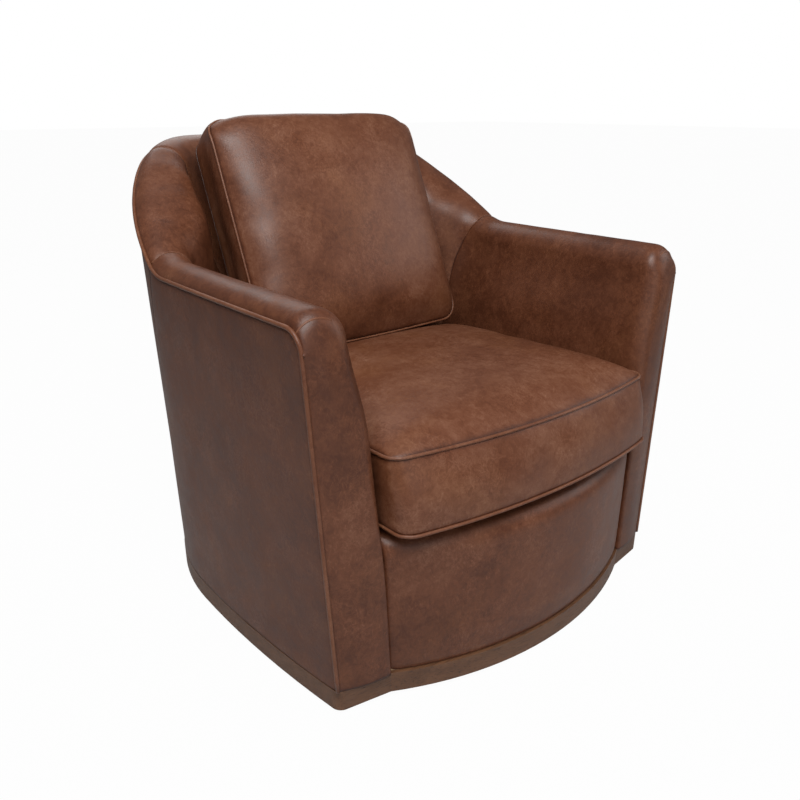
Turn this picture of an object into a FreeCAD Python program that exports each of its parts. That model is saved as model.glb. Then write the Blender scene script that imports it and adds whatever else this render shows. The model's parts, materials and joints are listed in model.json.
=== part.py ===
"""Barrel chair on a hidden swivel, with loose seat and back cushions.

Frame: millimetres, +Z up, the front of the chair towards -Y. The origin is on the floor, on the
axis of the swivel. The chair is symmetric about the plane X = 0.
"""
import FreeCAD, Part
import Sketcher
import math
import os
from types import SimpleNamespace
from FreeCAD import Placement, Rotation, Vector

doc = FreeCAD.newDocument("BarrelChair")
sheet = doc.addObject("Spreadsheet::Sheet", "Dimensions")
aliases = []
subparts = []


def size(alias, value, note):
    """Write one driving dimension into the sheet."""
    aliases.append(alias)
    cell = f"B{len(aliases)}"
    sheet.set(f"A{len(aliases)}", note)
    sheet.set(cell, str(value))
    sheet.setAlias(cell, alias)


# Swivel stack, from the floor up
size("glide_height", 6, "floor glide, height")
size("glide_radius", 14, "floor glide, radius")
size("glide_circle", 236, "floor glides, distance from the axis")
size("glide_count", 6, "floor glides, number")
size("disc_thickness", 15, "floor disc, thickness")
size("disc_radius", 260, "floor disc, radius")
size("disc_bore", 60, "floor disc, radius of the middle hole")
size("race_thickness", 6, "swivel race, thickness")
size("race_inner", 105, "swivel race, inner radius")
size("race_outer", 156, "swivel race, outer radius")
size("race_gap", 10, "clear height between the two races")
size("hub_wall", 8, "centring hub of the upper race, wall")
size("hub_lift", 1, "centring hub, height of its foot above the floor disc")
size("track_radius", 124, "rollers, distance of their middles from the axis")
size("roller_length", 16, "roller, length")
size("roller_count", 8, "rollers, number")
size("cage_thickness", 3, "roller cage, thickness")
size("cage_width", 26, "roller cage, width of the ring")
size("running_gap", 0.05, "running clearance of rollers, hub and shanks")
size("screw_circle", 143, "race screws, distance from the axis")
size("screw_count", 4, "race screws, number")
size("screw_radius", 2.4, "race screw, shank radius")
size("screw_bite", 4.5, "race screw, length in the race")
size("screw_head_radius", 4.6, "race screw, head radius over its corners")
size("screw_head_height", 2.4, "race screw, head height")
size("bolt_circle", 146, "race bolts, distance from the axis")
size("bolt_count", 4, "race bolts, number")
size("bolt_radius", 4, "race bolt, shank radius")
size("bolt_head_radius", 8, "race bolt, head radius over its corners")
size("bolt_head_height", 4, "race bolt, head height")

# Plan and side view of the body
size("half_width", 398, "half width of the body, and radius of its round back")
size("front_half_width", 363, "half width across the front corners at the plinth")
size("front_splay", 0.0527, "outward lean of the front corners, per mm of height")
size("front_reach", 383, "front corners at the plinth, distance in front of the axis")
size("front_lean", 0.0281, "backward lean of the arm fronts, per mm of height")
size("front_turn", 9, "arm front, angle in plan from square, degrees")
size("bow_reach", 462, "middle of the bowed front rail, distance in front of the axis")
size("bow_radius", 620, "bowed front rail, plan radius")
size("back_reach", 393.5, "round back at the plinth, distance behind the axis")
size("back_lean", 0.0938, "backward lean of the round back, per mm of height")
size("arm_welt_front", 594, "edge welt height at the arm front")
size("arm_welt_rear", 588, "edge welt height where the sweep starts")
size("sweep_start", 65, "start of the sweep, distance behind the axis")
size("sweep_angle", 31.6, "slope of the sweep, degrees")
size("sweep_low_radius", 100, "sweep, lower radius in side view")
size("sweep_high_radius", 200, "sweep, upper radius in side view")
size("back_welt_height", 767, "edge welt height at the round back")
size("seam_reach", 105, "seam between arm and back, distance behind the axis")
size("wing_seam", 258, "seam between wing and inside back, distance from the middle")

# Rolled edge and inside faces
size("roll_rise", 20, "crown of the rolled edge above the welt")
size("roll_run", 33.5, "crown of the rolled edge, inward from the welt")
size("roll_width", 71.5, "width of the rolled edge")
size("front_round", 30, "rounding of the arm front")
size("base_half_gap", 277, "half clear width between the arms at the plinth")
size("seat_half_gap", 288, "half clear width between the arms at the seat frame")
size("mid_half_gap", 296, "half clear width between the arms above the seat")
size("arm_mid_height", 450, "height of the fullest line of the inside arm")
size("back_mid_height", 600, "height of the fullest line of the inside back")
size("low_back_reach", 150, "inside back at the seat frame, distance behind the axis")
size("low_corner", 110, "inside back at the seat frame, corner radius")
size("mid_back_reach", 276, "inside back at its fullest line, distance behind the axis")
size("mid_corner", 170, "inside back at its fullest line, corner radius")

# Leather, padding and boards
size("leather", 2, "leather, thickness")
size("fit_gap", 0.3, "clear gap between neighbouring pieces")
size("board", 3, "side board and back board, thickness")
size("rail_pad", 18, "front rail pad, thickness")
size("rail_top", 275, "top of the padded front rail")
size("rail_top_round", 30, "rounding of the padded front rail")
size("rail_pad_depth", 60, "padded front rail, depth of its top")
size("rail_half", 284.5, "padded front rail, half length of its top")
size("welt_radius", 3.2, "edge welt, radius")
size("welt_proud", 1.2, "edge welt, distance of its centre outside the leather")
size("back_steps", 8, "round back, number of stations on each half")
size("pad_depth", 60, "inside padding, greatest thickness")
size("pad_ease", 0.6, "inside padding, extra room under the leather's chords")
size("panel_skin", 6, "arm front panel, distance inside the leather")
size("panel_thickness", 18, "arm front panel, thickness")

# Plinth and wooden frame
size("plinth_height", 35, "plinth, height")
size("plinth_proud", 2.5, "plinth, distance it stands out past the leather")
size("plinth_width", 24, "plinth, thickness of the band")
size("plinth_corner", 18, "plinth, radius of its front corners")
size("deck_thickness", 18, "base deck, thickness")
size("deck_margin", 2, "base deck, clear of the leather at the middle of the stations")
size("frame_depth", 44, "frame zone behind the outer leather")
size("rail_thickness", 22, "wooden rails, thickness")
size("top_rail_drop", 34, "top rails, depth of their top below the welt")
size("seat_plane_height", 254, "top of the seat frame at its front")
size("seat_plane_front", 420, "front of the seat frame, distance in front of the axis")
size("seat_slope", 3, "slope of the seat down to the back, degrees")
size("seat_rail_height", 84, "seat rails, height")
size("clip_thickness", 3, "spring clips, thickness")
size("clip_width", 24, "spring clips, width")
size("clip_length", 14, "spring clips, length")
size("post_width", 38, "posts, width along the wall")
size("upright_width", 60, "rail uprights, width")
size("upright_place", 170, "rail uprights, distance from the middle")
size("side_post_place", 20, "side posts, front face, distance behind the axis")
size("back_post_place", 150, "back posts, distance from the middle")

# Seat suspension and deck
size("spring_wire", 3.8, "zigzag spring, wire thickness")
size("spring_count", 5, "zigzag springs, number")
size("spring_pitch", 104, "zigzag springs, spacing")
size("spring_width", 46, "zigzag spring, width")
size("spring_loop", 14, "zigzag spring, loop radius")
size("insulator", 5, "insulator felt, thickness")
size("deck_pad", 20, "deck pad, thickness")
size("deck_pad_margin", 7, "deck pad and felt, clear of the inside leather at the back")
size("web_count", 4, "back webbing, number of straps")
size("web_width", 50, "back webbing, width of a strap")
size("web_pitch", 96, "back webbing, spacing")
size("web_thickness", 2, "back webbing, thickness")
size("web_lap", 40, "back webbing, lap down the back seat rail")

# Seat cushion
size("seat_bow", 456, "seat cushion, middle of its lower front edge in front of the axis")
size("seat_bow_radius", 800, "seat cushion, plan radius of its front")
size("seat_back", 104, "seat cushion, back edge, distance behind the axis")
size("seat_half", 276, "seat cushion, half width")
size("seat_setback", 17, "seat cushion, upper front edge behind the lower one")
size("seat_border", 115, "seat cushion, height of its border")
size("seat_corner", 34, "seat cushion, radius of its front corners")
size("seat_back_corner", 115, "seat cushion, radius of its back corners")
size("seat_crown", 40.4, "seat cushion, crown above the upper welt")
size("seat_sag", 7, "seat cushion, crown below the lower welt")
size("side_draw", 5, "cushions, how far their sides are drawn in")
size("cushion_welt", 3.4, "cushion welts, radius")
size("zip_length", 320, "zips, length")
size("zip_width", 12, "zips, width")
size("zip_thickness", 1.6, "zips, thickness")
size("zip_gap", 0.9, "zips, clear of the deepest line of the border")

# Back cushion
size("pillow_half", 226, "back cushion, half width")
size("pillow_lean", 24, "back cushion, lean back from upright, degrees")
size("pillow_top", 818, "back cushion, height of its upper front edge")
size("pillow_top_reach", 193, "back cushion, upper front edge, distance behind the axis")
size("pillow_height", 430, "back cushion, length of its front panel")
size("pillow_back_height", 384, "back cushion, length of its back panel")
size("pillow_border", 110, "back cushion, depth of its border")
size("pillow_back_half", 212, "back cushion, half width of its back panel")
size("pillow_corner", 36, "back cushion, corner radius")
size("pillow_bow", 6000, "back cushion, radius of its lower edge")
size("pillow_crown", 44, "back cushion, crown of its front panel")
size("pillow_back_crown", 40, "back cushion, crown of its back panel")

doc.recompute()
s = SimpleNamespace(**{alias: float(sheet.get(alias)) for alias in aliases})

# Levels and places that follow from the sizes
disc_bottom = s.glide_height
disc_top = disc_bottom + s.disc_thickness
lower_race_top = disc_top + s.race_thickness
upper_race_bottom = lower_race_top + s.race_gap
base_level = upper_race_bottom + s.race_thickness
deck_top = base_level + s.deck_thickness
plinth_bottom = base_level - s.plinth_height
roller_level = lower_race_top + s.race_gap / 2
skin_back = s.leather + s.fit_gap
frame_outer = s.leather + s.board + 3 * s.fit_gap
frame_inner = frame_outer + s.frame_depth
pad_start = frame_inner + s.web_thickness + s.fit_gap
edge_skin = s.welt_radius + s.fit_gap
edge_clear = edge_skin - s.welt_proud
rim_u = frame_outer - s.fit_gap
bow_centre = s.bow_radius - s.bow_reach
slope = math.radians(s.seat_slope)
clip_drop = s.clip_thickness / math.cos(slope)


def back_centre(z):
    """Y of the centre of the round back at height z."""
    return s.back_reach - s.half_width + s.back_lean * (z - base_level)


def front_corner_y(z):
    """Y of the front corner of the body at height z."""
    return -s.front_reach + s.front_lean * (z - base_level)


def half_width_at(y, z):
    """Half width of the outer leather at depth y and height z: round back, side arc tangent to it."""
    centre = back_centre(z)
    if y >= centre:
        return math.sqrt(max(s.half_width ** 2 - (y - centre) ** 2, 1.0))
    corner_x = s.front_half_width + s.front_splay * (z - base_level)
    corner_y = front_corner_y(z)
    swell = s.half_width - corner_x
    radius = ((centre - corner_y) ** 2 + swell ** 2) / (2 * swell)
    return s.half_width - radius + math.copysign(math.sqrt(radius ** 2 - (y - centre) ** 2), radius)


def rounded_corner(y, corner, slope_before, slope_after, radius):
    """Height at y of two lines that meet at a corner, joined by an arc."""
    before = math.atan(slope_before)
    after = math.atan(slope_after)
    reach = radius * math.tan(abs(after - before) / 2)
    start_y = corner[0] - reach * math.cos(before)
    end_y = corner[0] + reach * math.cos(after)
    if y <= start_y:
        return corner[1] + slope_before * (y - corner[0])
    if y >= end_y:
        return corner[1] + slope_after * (y - corner[0])
    start_z = corner[1] - reach * math.sin(before)
    turn = 1 if after > before else -1
    centre_y = start_y - turn * radius * math.sin(before)
    centre_z = start_z + turn * radius * math.cos(before)
    return centre_z - turn * math.sqrt(radius ** 2 - (y - centre_y) ** 2)


sweep_slope = math.tan(math.radians(s.sweep_angle))
arm_slope = (s.arm_welt_rear - s.arm_welt_front) / (s.sweep_start + s.front_reach)
sweep_end = s.sweep_start + (s.back_welt_height - s.arm_welt_rear) / sweep_slope


def welt_height(y):
    """Height of the edge welt in side view: arm, sweep, level back."""
    low = (s.sweep_start, s.arm_welt_rear)
    high = (sweep_end, s.back_welt_height)
    middle = (s.sweep_start + sweep_end) / 2
    if y < middle:
        return rounded_corner(y, low, arm_slope, sweep_slope, s.sweep_low_radius)
    return rounded_corner(y, high, sweep_slope, 0.0, s.sweep_high_radius)


def seat_plane(y):
    """Height of the top of the seat frame at depth y."""
    return s.seat_plane_height - math.tan(slope) * (y + s.seat_plane_front)


class Station:
    """An upright plane across the wall of the body, with u measured inwards from the outer leather."""

    def __init__(self, depth, turn, angle=None, front=None):
        self.depth = depth
        self.turn = math.radians(turn)
        self.angle = None if angle is None else math.radians(angle)
        self.front = front
        self.inward = (math.cos(self.turn), -math.sin(self.turn))
        low = self.outer(base_level)
        top_level = s.arm_welt_rear
        for _ in range(8):
            high = self.outer(top_level)
            top_level = welt_height(high[1])
        self.low = low
        self.high = high
        self.top_level = top_level

    def outer(self, z):
        """Plan position of the outer leather in this plane at height z, on the left side."""
        if self.angle is None:
            y = self.depth
            if self.front is not None:
                y = front_corner_y(z) + self.front
            return (-half_width_at(y, z), y)
        start = (-s.half_width * math.cos(self.angle), back_centre(base_level) + s.half_width * math.sin(self.angle))
        away = (start[0], start[1] - back_centre(z))
        along = away[0] * self.inward[0] + away[1] * self.inward[1]
        rest = away[0] ** 2 + away[1] ** 2 - s.half_width ** 2
        shift = -along - math.sqrt(along ** 2 - rest)
        return (start[0] + shift * self.inward[0], start[1] + shift * self.inward[1])

    def plan(self, u, z):
        """Plan position at depth u from the straight outer line at height z."""
        share = (z - base_level) / (self.top_level - base_level)
        x = self.low[0] + share * (self.high[0] - self.low[0]) + u * self.inward[0]
        y = self.low[1] + share * (self.high[1] - self.low[1]) + u * self.inward[1]
        return (x, y)

    def point(self, u, z, side=-1):
        x, y = self.plan(u, z)
        return Vector(-side * x, y, z)

    def depth_to(self, half_gap, back_reach, corner, z):
        """Distance u to the inside plan outline: straight sides, round corners, straight back."""
        def inside(u):
            x, y = self.plan(u, z)
            x = abs(x)
            if y <= back_reach - corner or x <= half_gap - corner:
                return x <= half_gap and y <= back_reach
            return math.hypot(x - half_gap + corner, y - back_reach + corner) <= corner
        near = 0.0
        far = 2 * s.half_width
        step = 1.0
        while not inside(near + step) and near + step < far:
            near += step
        far = near + step
        for _ in range(30):
            middle = (near + far) / 2
            if inside(middle):
                far = middle
            else:
                near = middle
        return far

    def inset(self, skin):
        """How far the rounding of the arm front draws the section in."""
        if self.front is None or self.front >= s.front_round:
            return 0.0
        reach = s.front_round - self.front
        radius = s.front_round - skin
        return s.front_round - skin - math.sqrt(max(radius ** 2 - reach ** 2, 0.0))

    def blend(self):
        """0 at the arm, 1 at the middle of the back."""
        if self.angle is None:
            return 0.0
        seam = math.asin((s.seam_reach - back_centre(base_level)) / s.half_width)
        share = (self.angle - seam) / (math.pi / 2 - seam)
        return math.sin(share * math.pi / 2) ** 2


def section(station, skin):
    """Points (u, z) of the rolled edge and inside face, offset inwards by the skin."""
    inset = station.inset(skin)
    fade = inset / s.front_round
    welt = station.top_level - inset
    run = s.roll_run * (1 - fade * 0.43)
    rise = s.roll_rise * (1 - fade * 0.5)
    outer_radius = (run ** 2 + rise ** 2) / (2 * rise)
    outer_centre = welt + rise - outer_radius
    start_u = run - math.sqrt((outer_radius - skin) ** 2 - (outer_radius - rise) ** 2)
    first = math.atan2(welt - outer_centre, start_u - run)
    first_half = (first + math.pi / 2) / 2
    inner_radius = s.roll_width - inset - run
    inner_centre = welt + rise - inner_radius
    diagonal = (inner_radius - skin) * math.sqrt(0.5)
    near_u = station.depth_to(s.seat_half_gap, s.low_back_reach, s.low_corner, s.seat_plane_height)
    low_z = seat_plane(station.plan(near_u, s.seat_plane_height)[1]) + s.spring_wire + 2 * s.fit_gap
    mid_z = s.arm_mid_height + station.blend() * (s.back_mid_height - s.arm_mid_height)
    low_u = station.depth_to(s.seat_half_gap, s.low_back_reach, s.low_corner, low_z)
    mid_u = station.depth_to(s.mid_half_gap, s.mid_back_reach, s.mid_corner, mid_z)
    base_u = station.depth_to(s.base_half_gap, s.low_back_reach, s.low_corner, base_level)
    foot_share = (deck_top + s.fit_gap - base_level) / (low_z - base_level)
    lap = s.pad_depth + skin_back
    back_u = station.depth_to(s.seat_half_gap + lap, s.low_back_reach + lap, s.low_corner, low_z)
    edge_angle = math.acos((run - edge_clear) / outer_radius)
    return SimpleNamespace(
        edge=(run - (outer_radius - skin) * math.cos(edge_angle),
              outer_centre + (outer_radius - skin) * math.sin(edge_angle)),
        welt=(start_u, welt),
        rim=(rim_u, outer_centre + math.sqrt((outer_radius - skin) ** 2 - (run - rim_u) ** 2)),
        outer_arc=(run + (outer_radius - skin) * math.cos(first_half),
                   outer_centre + (outer_radius - skin) * math.sin(first_half)),
        crown=(run, welt + rise - skin),
        inner_arc=(run + diagonal, inner_centre + diagonal),
        shoulder=(s.roll_width - inset - skin, inner_centre),
        middle=(mid_u - inset - skin, mid_z),
        low=(low_u - inset - skin, low_z),
        base=(base_u - inset - skin, base_level),
        foot=(base_u + foot_share * (low_u - base_u) - inset - skin, deck_top + s.fit_gap),
        back=(max(pad_start, back_u), low_z),
    )


ARC_CHORDS = 3


def chords(arc, count):
    """The arc of a soft edge as a few straight lines, which keeps the lofts light; no count keeps the arc."""
    if not count:
        return [arc.toShape()]
    points = arc.toShape().discretize(Number=count + 1)
    return [Part.makeLine(points[index], points[index + 1]) for index in range(count)]


def closed_wire(station, side, start, *steps):
    """A closed wire in the station's plane: each step is a line's end, or an arc's middle and end."""
    here = station.point(*start, side)
    first = here
    edges = []
    for step in steps:
        if isinstance(step[0], tuple):
            middle = station.point(*step[0], side)
            end = station.point(*step[1], side)
            edges += chords(Part.Arc(here, middle, end), ARC_CHORDS)
        else:
            end = station.point(*step, side)
            edges.append(Part.makeLine(here, end))
        here = end
    edges.append(Part.makeLine(here, first))
    return Part.Wire(edges)


def part_feature(name, shape, placement=Placement()):
    """A sub-part whose shape is set from the sheet's sizes."""
    feature = doc.addObject("Part::Feature", name)
    feature.Label = name
    feature.Shape = shape
    feature.Placement = placement
    subparts.append(feature)
    return feature


def mirrored(name, source):
    """The right-hand copy of a left-hand sub-part."""
    feature = doc.addObject("Part::Mirroring", name)
    feature.Label = name
    feature.Source = source
    feature.Normal = Vector(1, 0, 0)
    subparts.append(feature)
    return feature


def pair(name, shape):
    """A left-hand sub-part and its mirror image."""
    mirrored("right_" + name, part_feature("left_" + name, shape))


def half_space(y_low, y_high, x_low=-600, x_high=600, z_low=-50, z_high=1200):
    """A large box that keeps one stretch of the body."""
    return Part.makeBox(x_high - x_low, y_high - y_low, z_high - z_low, Vector(x_low, y_low, z_low))


# Stations along the left wall. Every layer of the wall is ruled between the same stations.
ROUND_SHARES = [1 - math.cos(math.radians(22.5 * step)) for step in range(5)]


def arm_stations(skin):
    """Stations from the arm front to the seam; the first ones follow the rounding of the front."""
    stations = []
    for share in ROUND_SHARES:
        stations.append(Station(0, s.front_turn, front=skin + share * (s.front_round - skin)))
    span = s.seam_reach + s.front_reach - s.front_round
    for share in (0.3, 0.55):
        stations.append(Station(-s.front_reach + s.front_round + share * span, s.front_turn * (1 - share * 1.6)))
    for step in range(5):
        lead = s.sweep_start - 36 + step * (s.seam_reach - s.sweep_start + 36) / 4
        stations.append(Station(lead, 0))
    return stations


def back_stations():
    """Stations of the left half of the back, from the seam to the middle."""
    stations = [Station(s.seam_reach, 0)]
    seam = math.degrees(math.asin((s.seam_reach - back_centre(base_level)) / s.half_width))
    steps = int(s.back_steps)
    for step in range(1, steps + 1):
        share = step / steps
        stations.append(Station(0, 90 * share, angle=seam + share * (90 - seam)))
    return stations


def loft(wires):
    return Part.makeLoft(wires, True, True)


def arm_loft(wire_of, skin=0.0):
    """A ruled solid through the stations of the left arm."""
    return loft([wire_of(station, -1) for station in arm_stations(skin)])


def back_loft(wire_of):
    """A ruled solid through the back stations, from the left seam to the right seam."""
    left = back_stations()
    wires = [wire_of(station, -1) for station in left]
    wires += [wire_of(station, 1) for station in reversed(left[:-1])]
    return loft(wires)


def inner_steps(profile, stop):
    """The steps over the roll and down the inside face to the given point."""
    return [
        (profile.outer_arc, profile.crown),
        (profile.inner_arc, profile.shoulder),
        (profile.middle, profile.low),
        stop,
    ]


# Outer leather and side boards follow the outer line of the wall.
def outside_strip(station, side):
    top = station.top_level - station.inset(edge_skin) - edge_skin
    return closed_wire(station, side, (0.0, base_level), (0.0, top), (s.leather, top), (s.leather, base_level))


pair("outside_arm_leather", arm_loft(outside_strip, edge_skin))
part_feature("outside_back_leather", back_loft(outside_strip))

pad_depths = [skin_back + share * (s.front_round - skin_back) for share in ROUND_SHARES[:-1]]
panel_start = pad_depths[-1] + 3 * s.fit_gap
panel_end = panel_start + s.panel_thickness
frame_start = panel_end + s.fit_gap


def framed_arm_loft(wire_of, start=frame_start):
    """A ruled solid of the left arm behind its front pad or panel."""
    stations = [Station(0, s.front_turn, front=start)]
    stations += [station for station in arm_stations(0.0) if station.front is None]
    return loft([wire_of(station, -1) for station in stations])


def box_wire(near, far, bottom_of, top_of):
    """Wire maker for a band of the wall between two depths and two heights."""
    def make(station, side):
        bottom = bottom_of(station)
        top = top_of(station)
        return closed_wire(station, side, (near, bottom), (near, top), (far, top), (far, bottom))
    return make


def above_deck(station):
    return deck_top + s.fit_gap


def below_welt(drop):
    return lambda station: station.top_level - station.inset(0.0) - drop


board_band = box_wire(skin_back, skin_back + s.board, above_deck, below_welt(edge_skin))
pair("side_board", framed_arm_loft(board_band, panel_start))
part_feature("back_board", back_loft(board_band))

# Wooden frame: top rails on posts, between the outer boards and the padding.
rail_foot = s.top_rail_drop + s.rail_thickness
rail_band = box_wire(frame_outer, frame_inner, below_welt(rail_foot), below_welt(s.top_rail_drop))
pair("arm_rail", framed_arm_loft(rail_band))
back_rail = back_loft(rail_band)
wing = half_space(0, 600, x_high=-s.wing_seam)
middle_back = half_space(0, 600, x_low=-s.wing_seam, x_high=s.wing_seam)
pair("wing_rail", back_rail.common(wing))
part_feature("back_top_rail", back_rail.common(middle_back))

post_band = box_wire(frame_outer, frame_inner, above_deck, below_welt(rail_foot + s.fit_gap))
arm_posts = framed_arm_loft(post_band)
front_post_end = -s.front_reach + frame_start + s.post_width
pair("front_post", arm_posts.common(half_space(-600, front_post_end)))
pair("side_post", arm_posts.common(half_space(s.side_post_place, s.side_post_place + s.post_width)))
back_post_near = s.back_post_place - s.post_width / 2
back_post_far = s.back_post_place + s.post_width / 2
back_posts = back_loft(post_band)
pair("back_post", back_posts.common(half_space(0, 600, x_low=-back_post_far, x_high=-back_post_near)))


def rail_top_at(station):
    """Top of the seat rails, where the wall's inner side of the frame stands."""
    return seat_plane(station.plan(pad_start, s.seat_plane_height)[1]) - clip_drop


seat_rail_band = box_wire(pad_start, pad_start + s.rail_thickness,
                          lambda station: rail_top_at(station) - s.seat_rail_height, rail_top_at)
back_rail_face = s.low_back_reach + skin_back + s.pad_depth
side_rail_back = back_loft(seat_rail_band).common(half_space(0, back_rail_face, x_high=0))
left_seat_rail = framed_arm_loft(seat_rail_band).fuse(side_rail_back).removeSplitter()
pair("seat_rail", left_seat_rail)


def seat_prism(y_low, y_high, low, high):
    """A block between two planes parallel to the top of the seat frame, given by their heights over it."""
    corners = [
        Vector(-s.half_width, y_low, seat_plane(y_low) + low),
        Vector(-s.half_width, y_high, seat_plane(y_high) + low),
        Vector(-s.half_width, y_high, seat_plane(y_high) + high),
        Vector(-s.half_width, y_low, seat_plane(y_low) + high),
    ]
    return Part.Face(Part.makePolygon(corners + corners[:1])).extrude(Vector(2 * s.half_width, 0, 0))


rail_low = -clip_drop - s.seat_rail_height
beyond_rails = box_wire(-s.rail_thickness, pad_start + s.rail_thickness + s.fit_gap,
                        above_deck, lambda station: s.rail_top)
back_seat_rail = seat_prism(back_rail_face - s.rail_thickness, back_rail_face, rail_low, -clip_drop)
part_feature("back_seat_rail", back_seat_rail.common(middle_back.cut(back_loft(beyond_rails))))


# Inside leather: a skin over the roll and down the inside face.
def full_wire(station, side):
    profile = section(station, 0.0)
    edge = profile.edge
    return closed_wire(station, side, (edge[0], base_level), edge, *inner_steps(profile, profile.base))


def hollow_wire(station, side):
    """The room inside the arm's leather, open at the outer side and at the bottom."""
    profile = section(station, s.leather)
    outside = -3 * s.leather
    below = base_level - 3 * s.leather
    return closed_wire(station, side, (outside, below), (outside, profile.welt[1]), profile.welt,
                       *inner_steps(profile, profile.base), (profile.base[0], below))


def plan_face(z):
    """The body's outline at the plinth: round back, side arcs, turned arm fronts and bowed front."""
    centre = s.back_reach - s.half_width
    swell = s.half_width - s.front_half_width
    side_radius = ((centre + s.front_reach) ** 2 + swell ** 2) / (2 * swell)
    half_y = (centre - s.front_reach) / 2
    half_x = s.half_width - side_radius + math.sqrt(side_radius ** 2 - (half_y - centre) ** 2)
    inner_y = bow_centre - math.sqrt(s.bow_radius ** 2 - s.base_half_gap ** 2)
    right = Vector(s.half_width, centre, z)
    left = Vector(-s.half_width, centre, z)
    corners = [Vector(side * s.front_half_width, -s.front_reach, z) for side in (-1, 1)]
    inner = [Vector(side * s.base_half_gap, inner_y, z) for side in (-1, 1)]
    edges = [
        Part.Arc(right, Vector(0, s.back_reach, z), left).toShape(),
        Part.Arc(left, Vector(-half_x, half_y, z), corners[0]).toShape(),
        Part.makeLine(corners[0], inner[0]),
        Part.Arc(inner[0], Vector(0, -s.bow_reach, z), inner[1]).toShape(),
        Part.makeLine(inner[1], corners[1]),
        Part.Arc(corners[1], Vector(half_x, half_y, z), right).toShape(),
    ]
    return Part.Face(Part.Wire(edges))


def plan_block(offset, z, height):
    """The body's outline moved outwards by an offset and given a height."""
    return plan_face(z).makeOffset2D(offset, 2).extrude(Vector(0, 0, height))


arm_skin = arm_loft(full_wire).cut(arm_loft(hollow_wire, s.leather))
low_front = front_post_end + s.fit_gap
behind_front = seat_prism(low_front, s.half_width, -s.half_width, s.spring_wire + 2 * s.fit_gap)
deck_room = plan_block(-skin_back, base_level - s.fit_gap, s.deck_thickness + 2 * s.fit_gap)
pair("inside_arm_leather", arm_skin.cut([behind_front, deck_room]))


def skin_wire(station, side):
    """A closed skin over the roll and down the inside face."""
    outer = section(station, 0.0)
    inner = section(station, s.leather)
    return closed_wire(station, side, outer.edge, (outer.outer_arc, outer.crown), (outer.inner_arc, outer.shoulder),
                       (outer.middle, outer.low), inner.low, (inner.middle, inner.shoulder),
                       (inner.inner_arc, inner.crown), (inner.outer_arc, inner.edge))


back_skin = back_loft(skin_wire)
pair("wing_leather", back_skin.common(wing))
part_feature("inside_back_leather", back_skin.common(middle_back))


# Padding behind the inside leather, and the padded fronts of the arms.
def pad_wire(station, side):
    """Padding between the frame and the inside leather, lapped over the top rail."""
    profile = section(station, skin_back + s.pad_ease)
    ledge = station.top_level - station.inset(0.0) - s.top_rail_drop + s.fit_gap
    rail_bottom = ledge - s.rail_thickness - 2 * s.fit_gap
    return closed_wire(station, side, (rim_u, ledge), profile.rim, (profile.outer_arc, profile.crown),
                       (profile.inner_arc, profile.shoulder), (profile.middle, profile.low),
                       profile.back, (pad_start, rail_bottom), (pad_start, ledge))


pair("arm_pad", framed_arm_loft(pad_wire))
part_feature("back_pad", back_loft(pad_wire))


def filled_wire(skin):
    """Wire maker for the whole arm section above the deck, inside a skin."""
    def make(station, side):
        profile = section(station, skin)
        steps = inner_steps(profile, profile.foot)
        return closed_wire(station, side, (profile.welt[0], profile.foot[1]), profile.welt, *steps)
    return make


def arm_front_loft(wire_of, depths):
    return loft([wire_of(Station(0, s.front_turn, front=depth), -1) for depth in depths])


pair("arm_front_pad", arm_front_loft(filled_wire(skin_back), pad_depths))
pair("arm_front_panel", arm_front_loft(filled_wire(s.panel_skin), [panel_start, s.front_round, panel_end]))


def webbing_wire(station, side):
    """A thin sheet on the inner side of the top rail, down behind the padding to the back seat rail."""
    profile = section(station, skin_back)
    rail_top = station.top_level - s.top_rail_drop
    rail_bottom = rail_top - s.rail_thickness
    inner_u = profile.back[0] - s.fit_gap
    lap_level = profile.low[1] - s.web_lap
    lap = s.pad_depth + skin_back
    lap_u = station.depth_to(s.seat_half_gap + lap, s.low_back_reach + lap, s.low_corner, lap_level) - s.fit_gap
    face_u = frame_inner + s.web_thickness
    return closed_wire(station, side, (frame_inner, rail_top), (face_u, rail_top), (face_u, rail_bottom),
                       (inner_u, profile.low[1]), (lap_u, lap_level),
                       (lap_u - s.web_thickness, lap_level), (inner_u - s.web_thickness, profile.low[1]),
                       (frame_inner, rail_bottom))


web_sheet = back_loft(webbing_wire)
webs = []
for index in range(int(s.web_count)):
    web_x = (index - (s.web_count - 1) / 2) * s.web_pitch
    webs += web_sheet.common(half_space(0, 600, x_low=web_x - s.web_width / 2, x_high=web_x + s.web_width / 2)).Solids
part_feature("back_webbing", Part.makeCompound(webs))


# Edge welt: one six-sided cord up the arm front, round its corner and along the whole edge.
def cord_points():
    """Places of the cord on the left half, each with its inward direction."""
    inward_front = Vector(math.cos(math.radians(s.front_turn)), -math.sin(math.radians(s.front_turn)), 0)
    front = Station(0, s.front_turn, front=0.0)
    places = [(front.point(-s.welt_proud, base_level + s.fit_gap), inward_front)]
    for step in range(6):
        turn = math.radians(18 * step)
        depth = s.front_round * (1 - math.cos(turn))
        station = Station(0, s.front_turn, front=depth)
        level = station.top_level - s.front_round * (1 - math.sin(turn))
        places.append((station.point(-s.welt_proud, level), inward_front))
    stations = [station for station in arm_stations(0.0) if station.front is None]
    for station in stations + back_stations()[1:]:
        places.append((station.point(-s.welt_proud, station.top_level), Vector(*station.inward, 0)))
    return places


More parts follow.
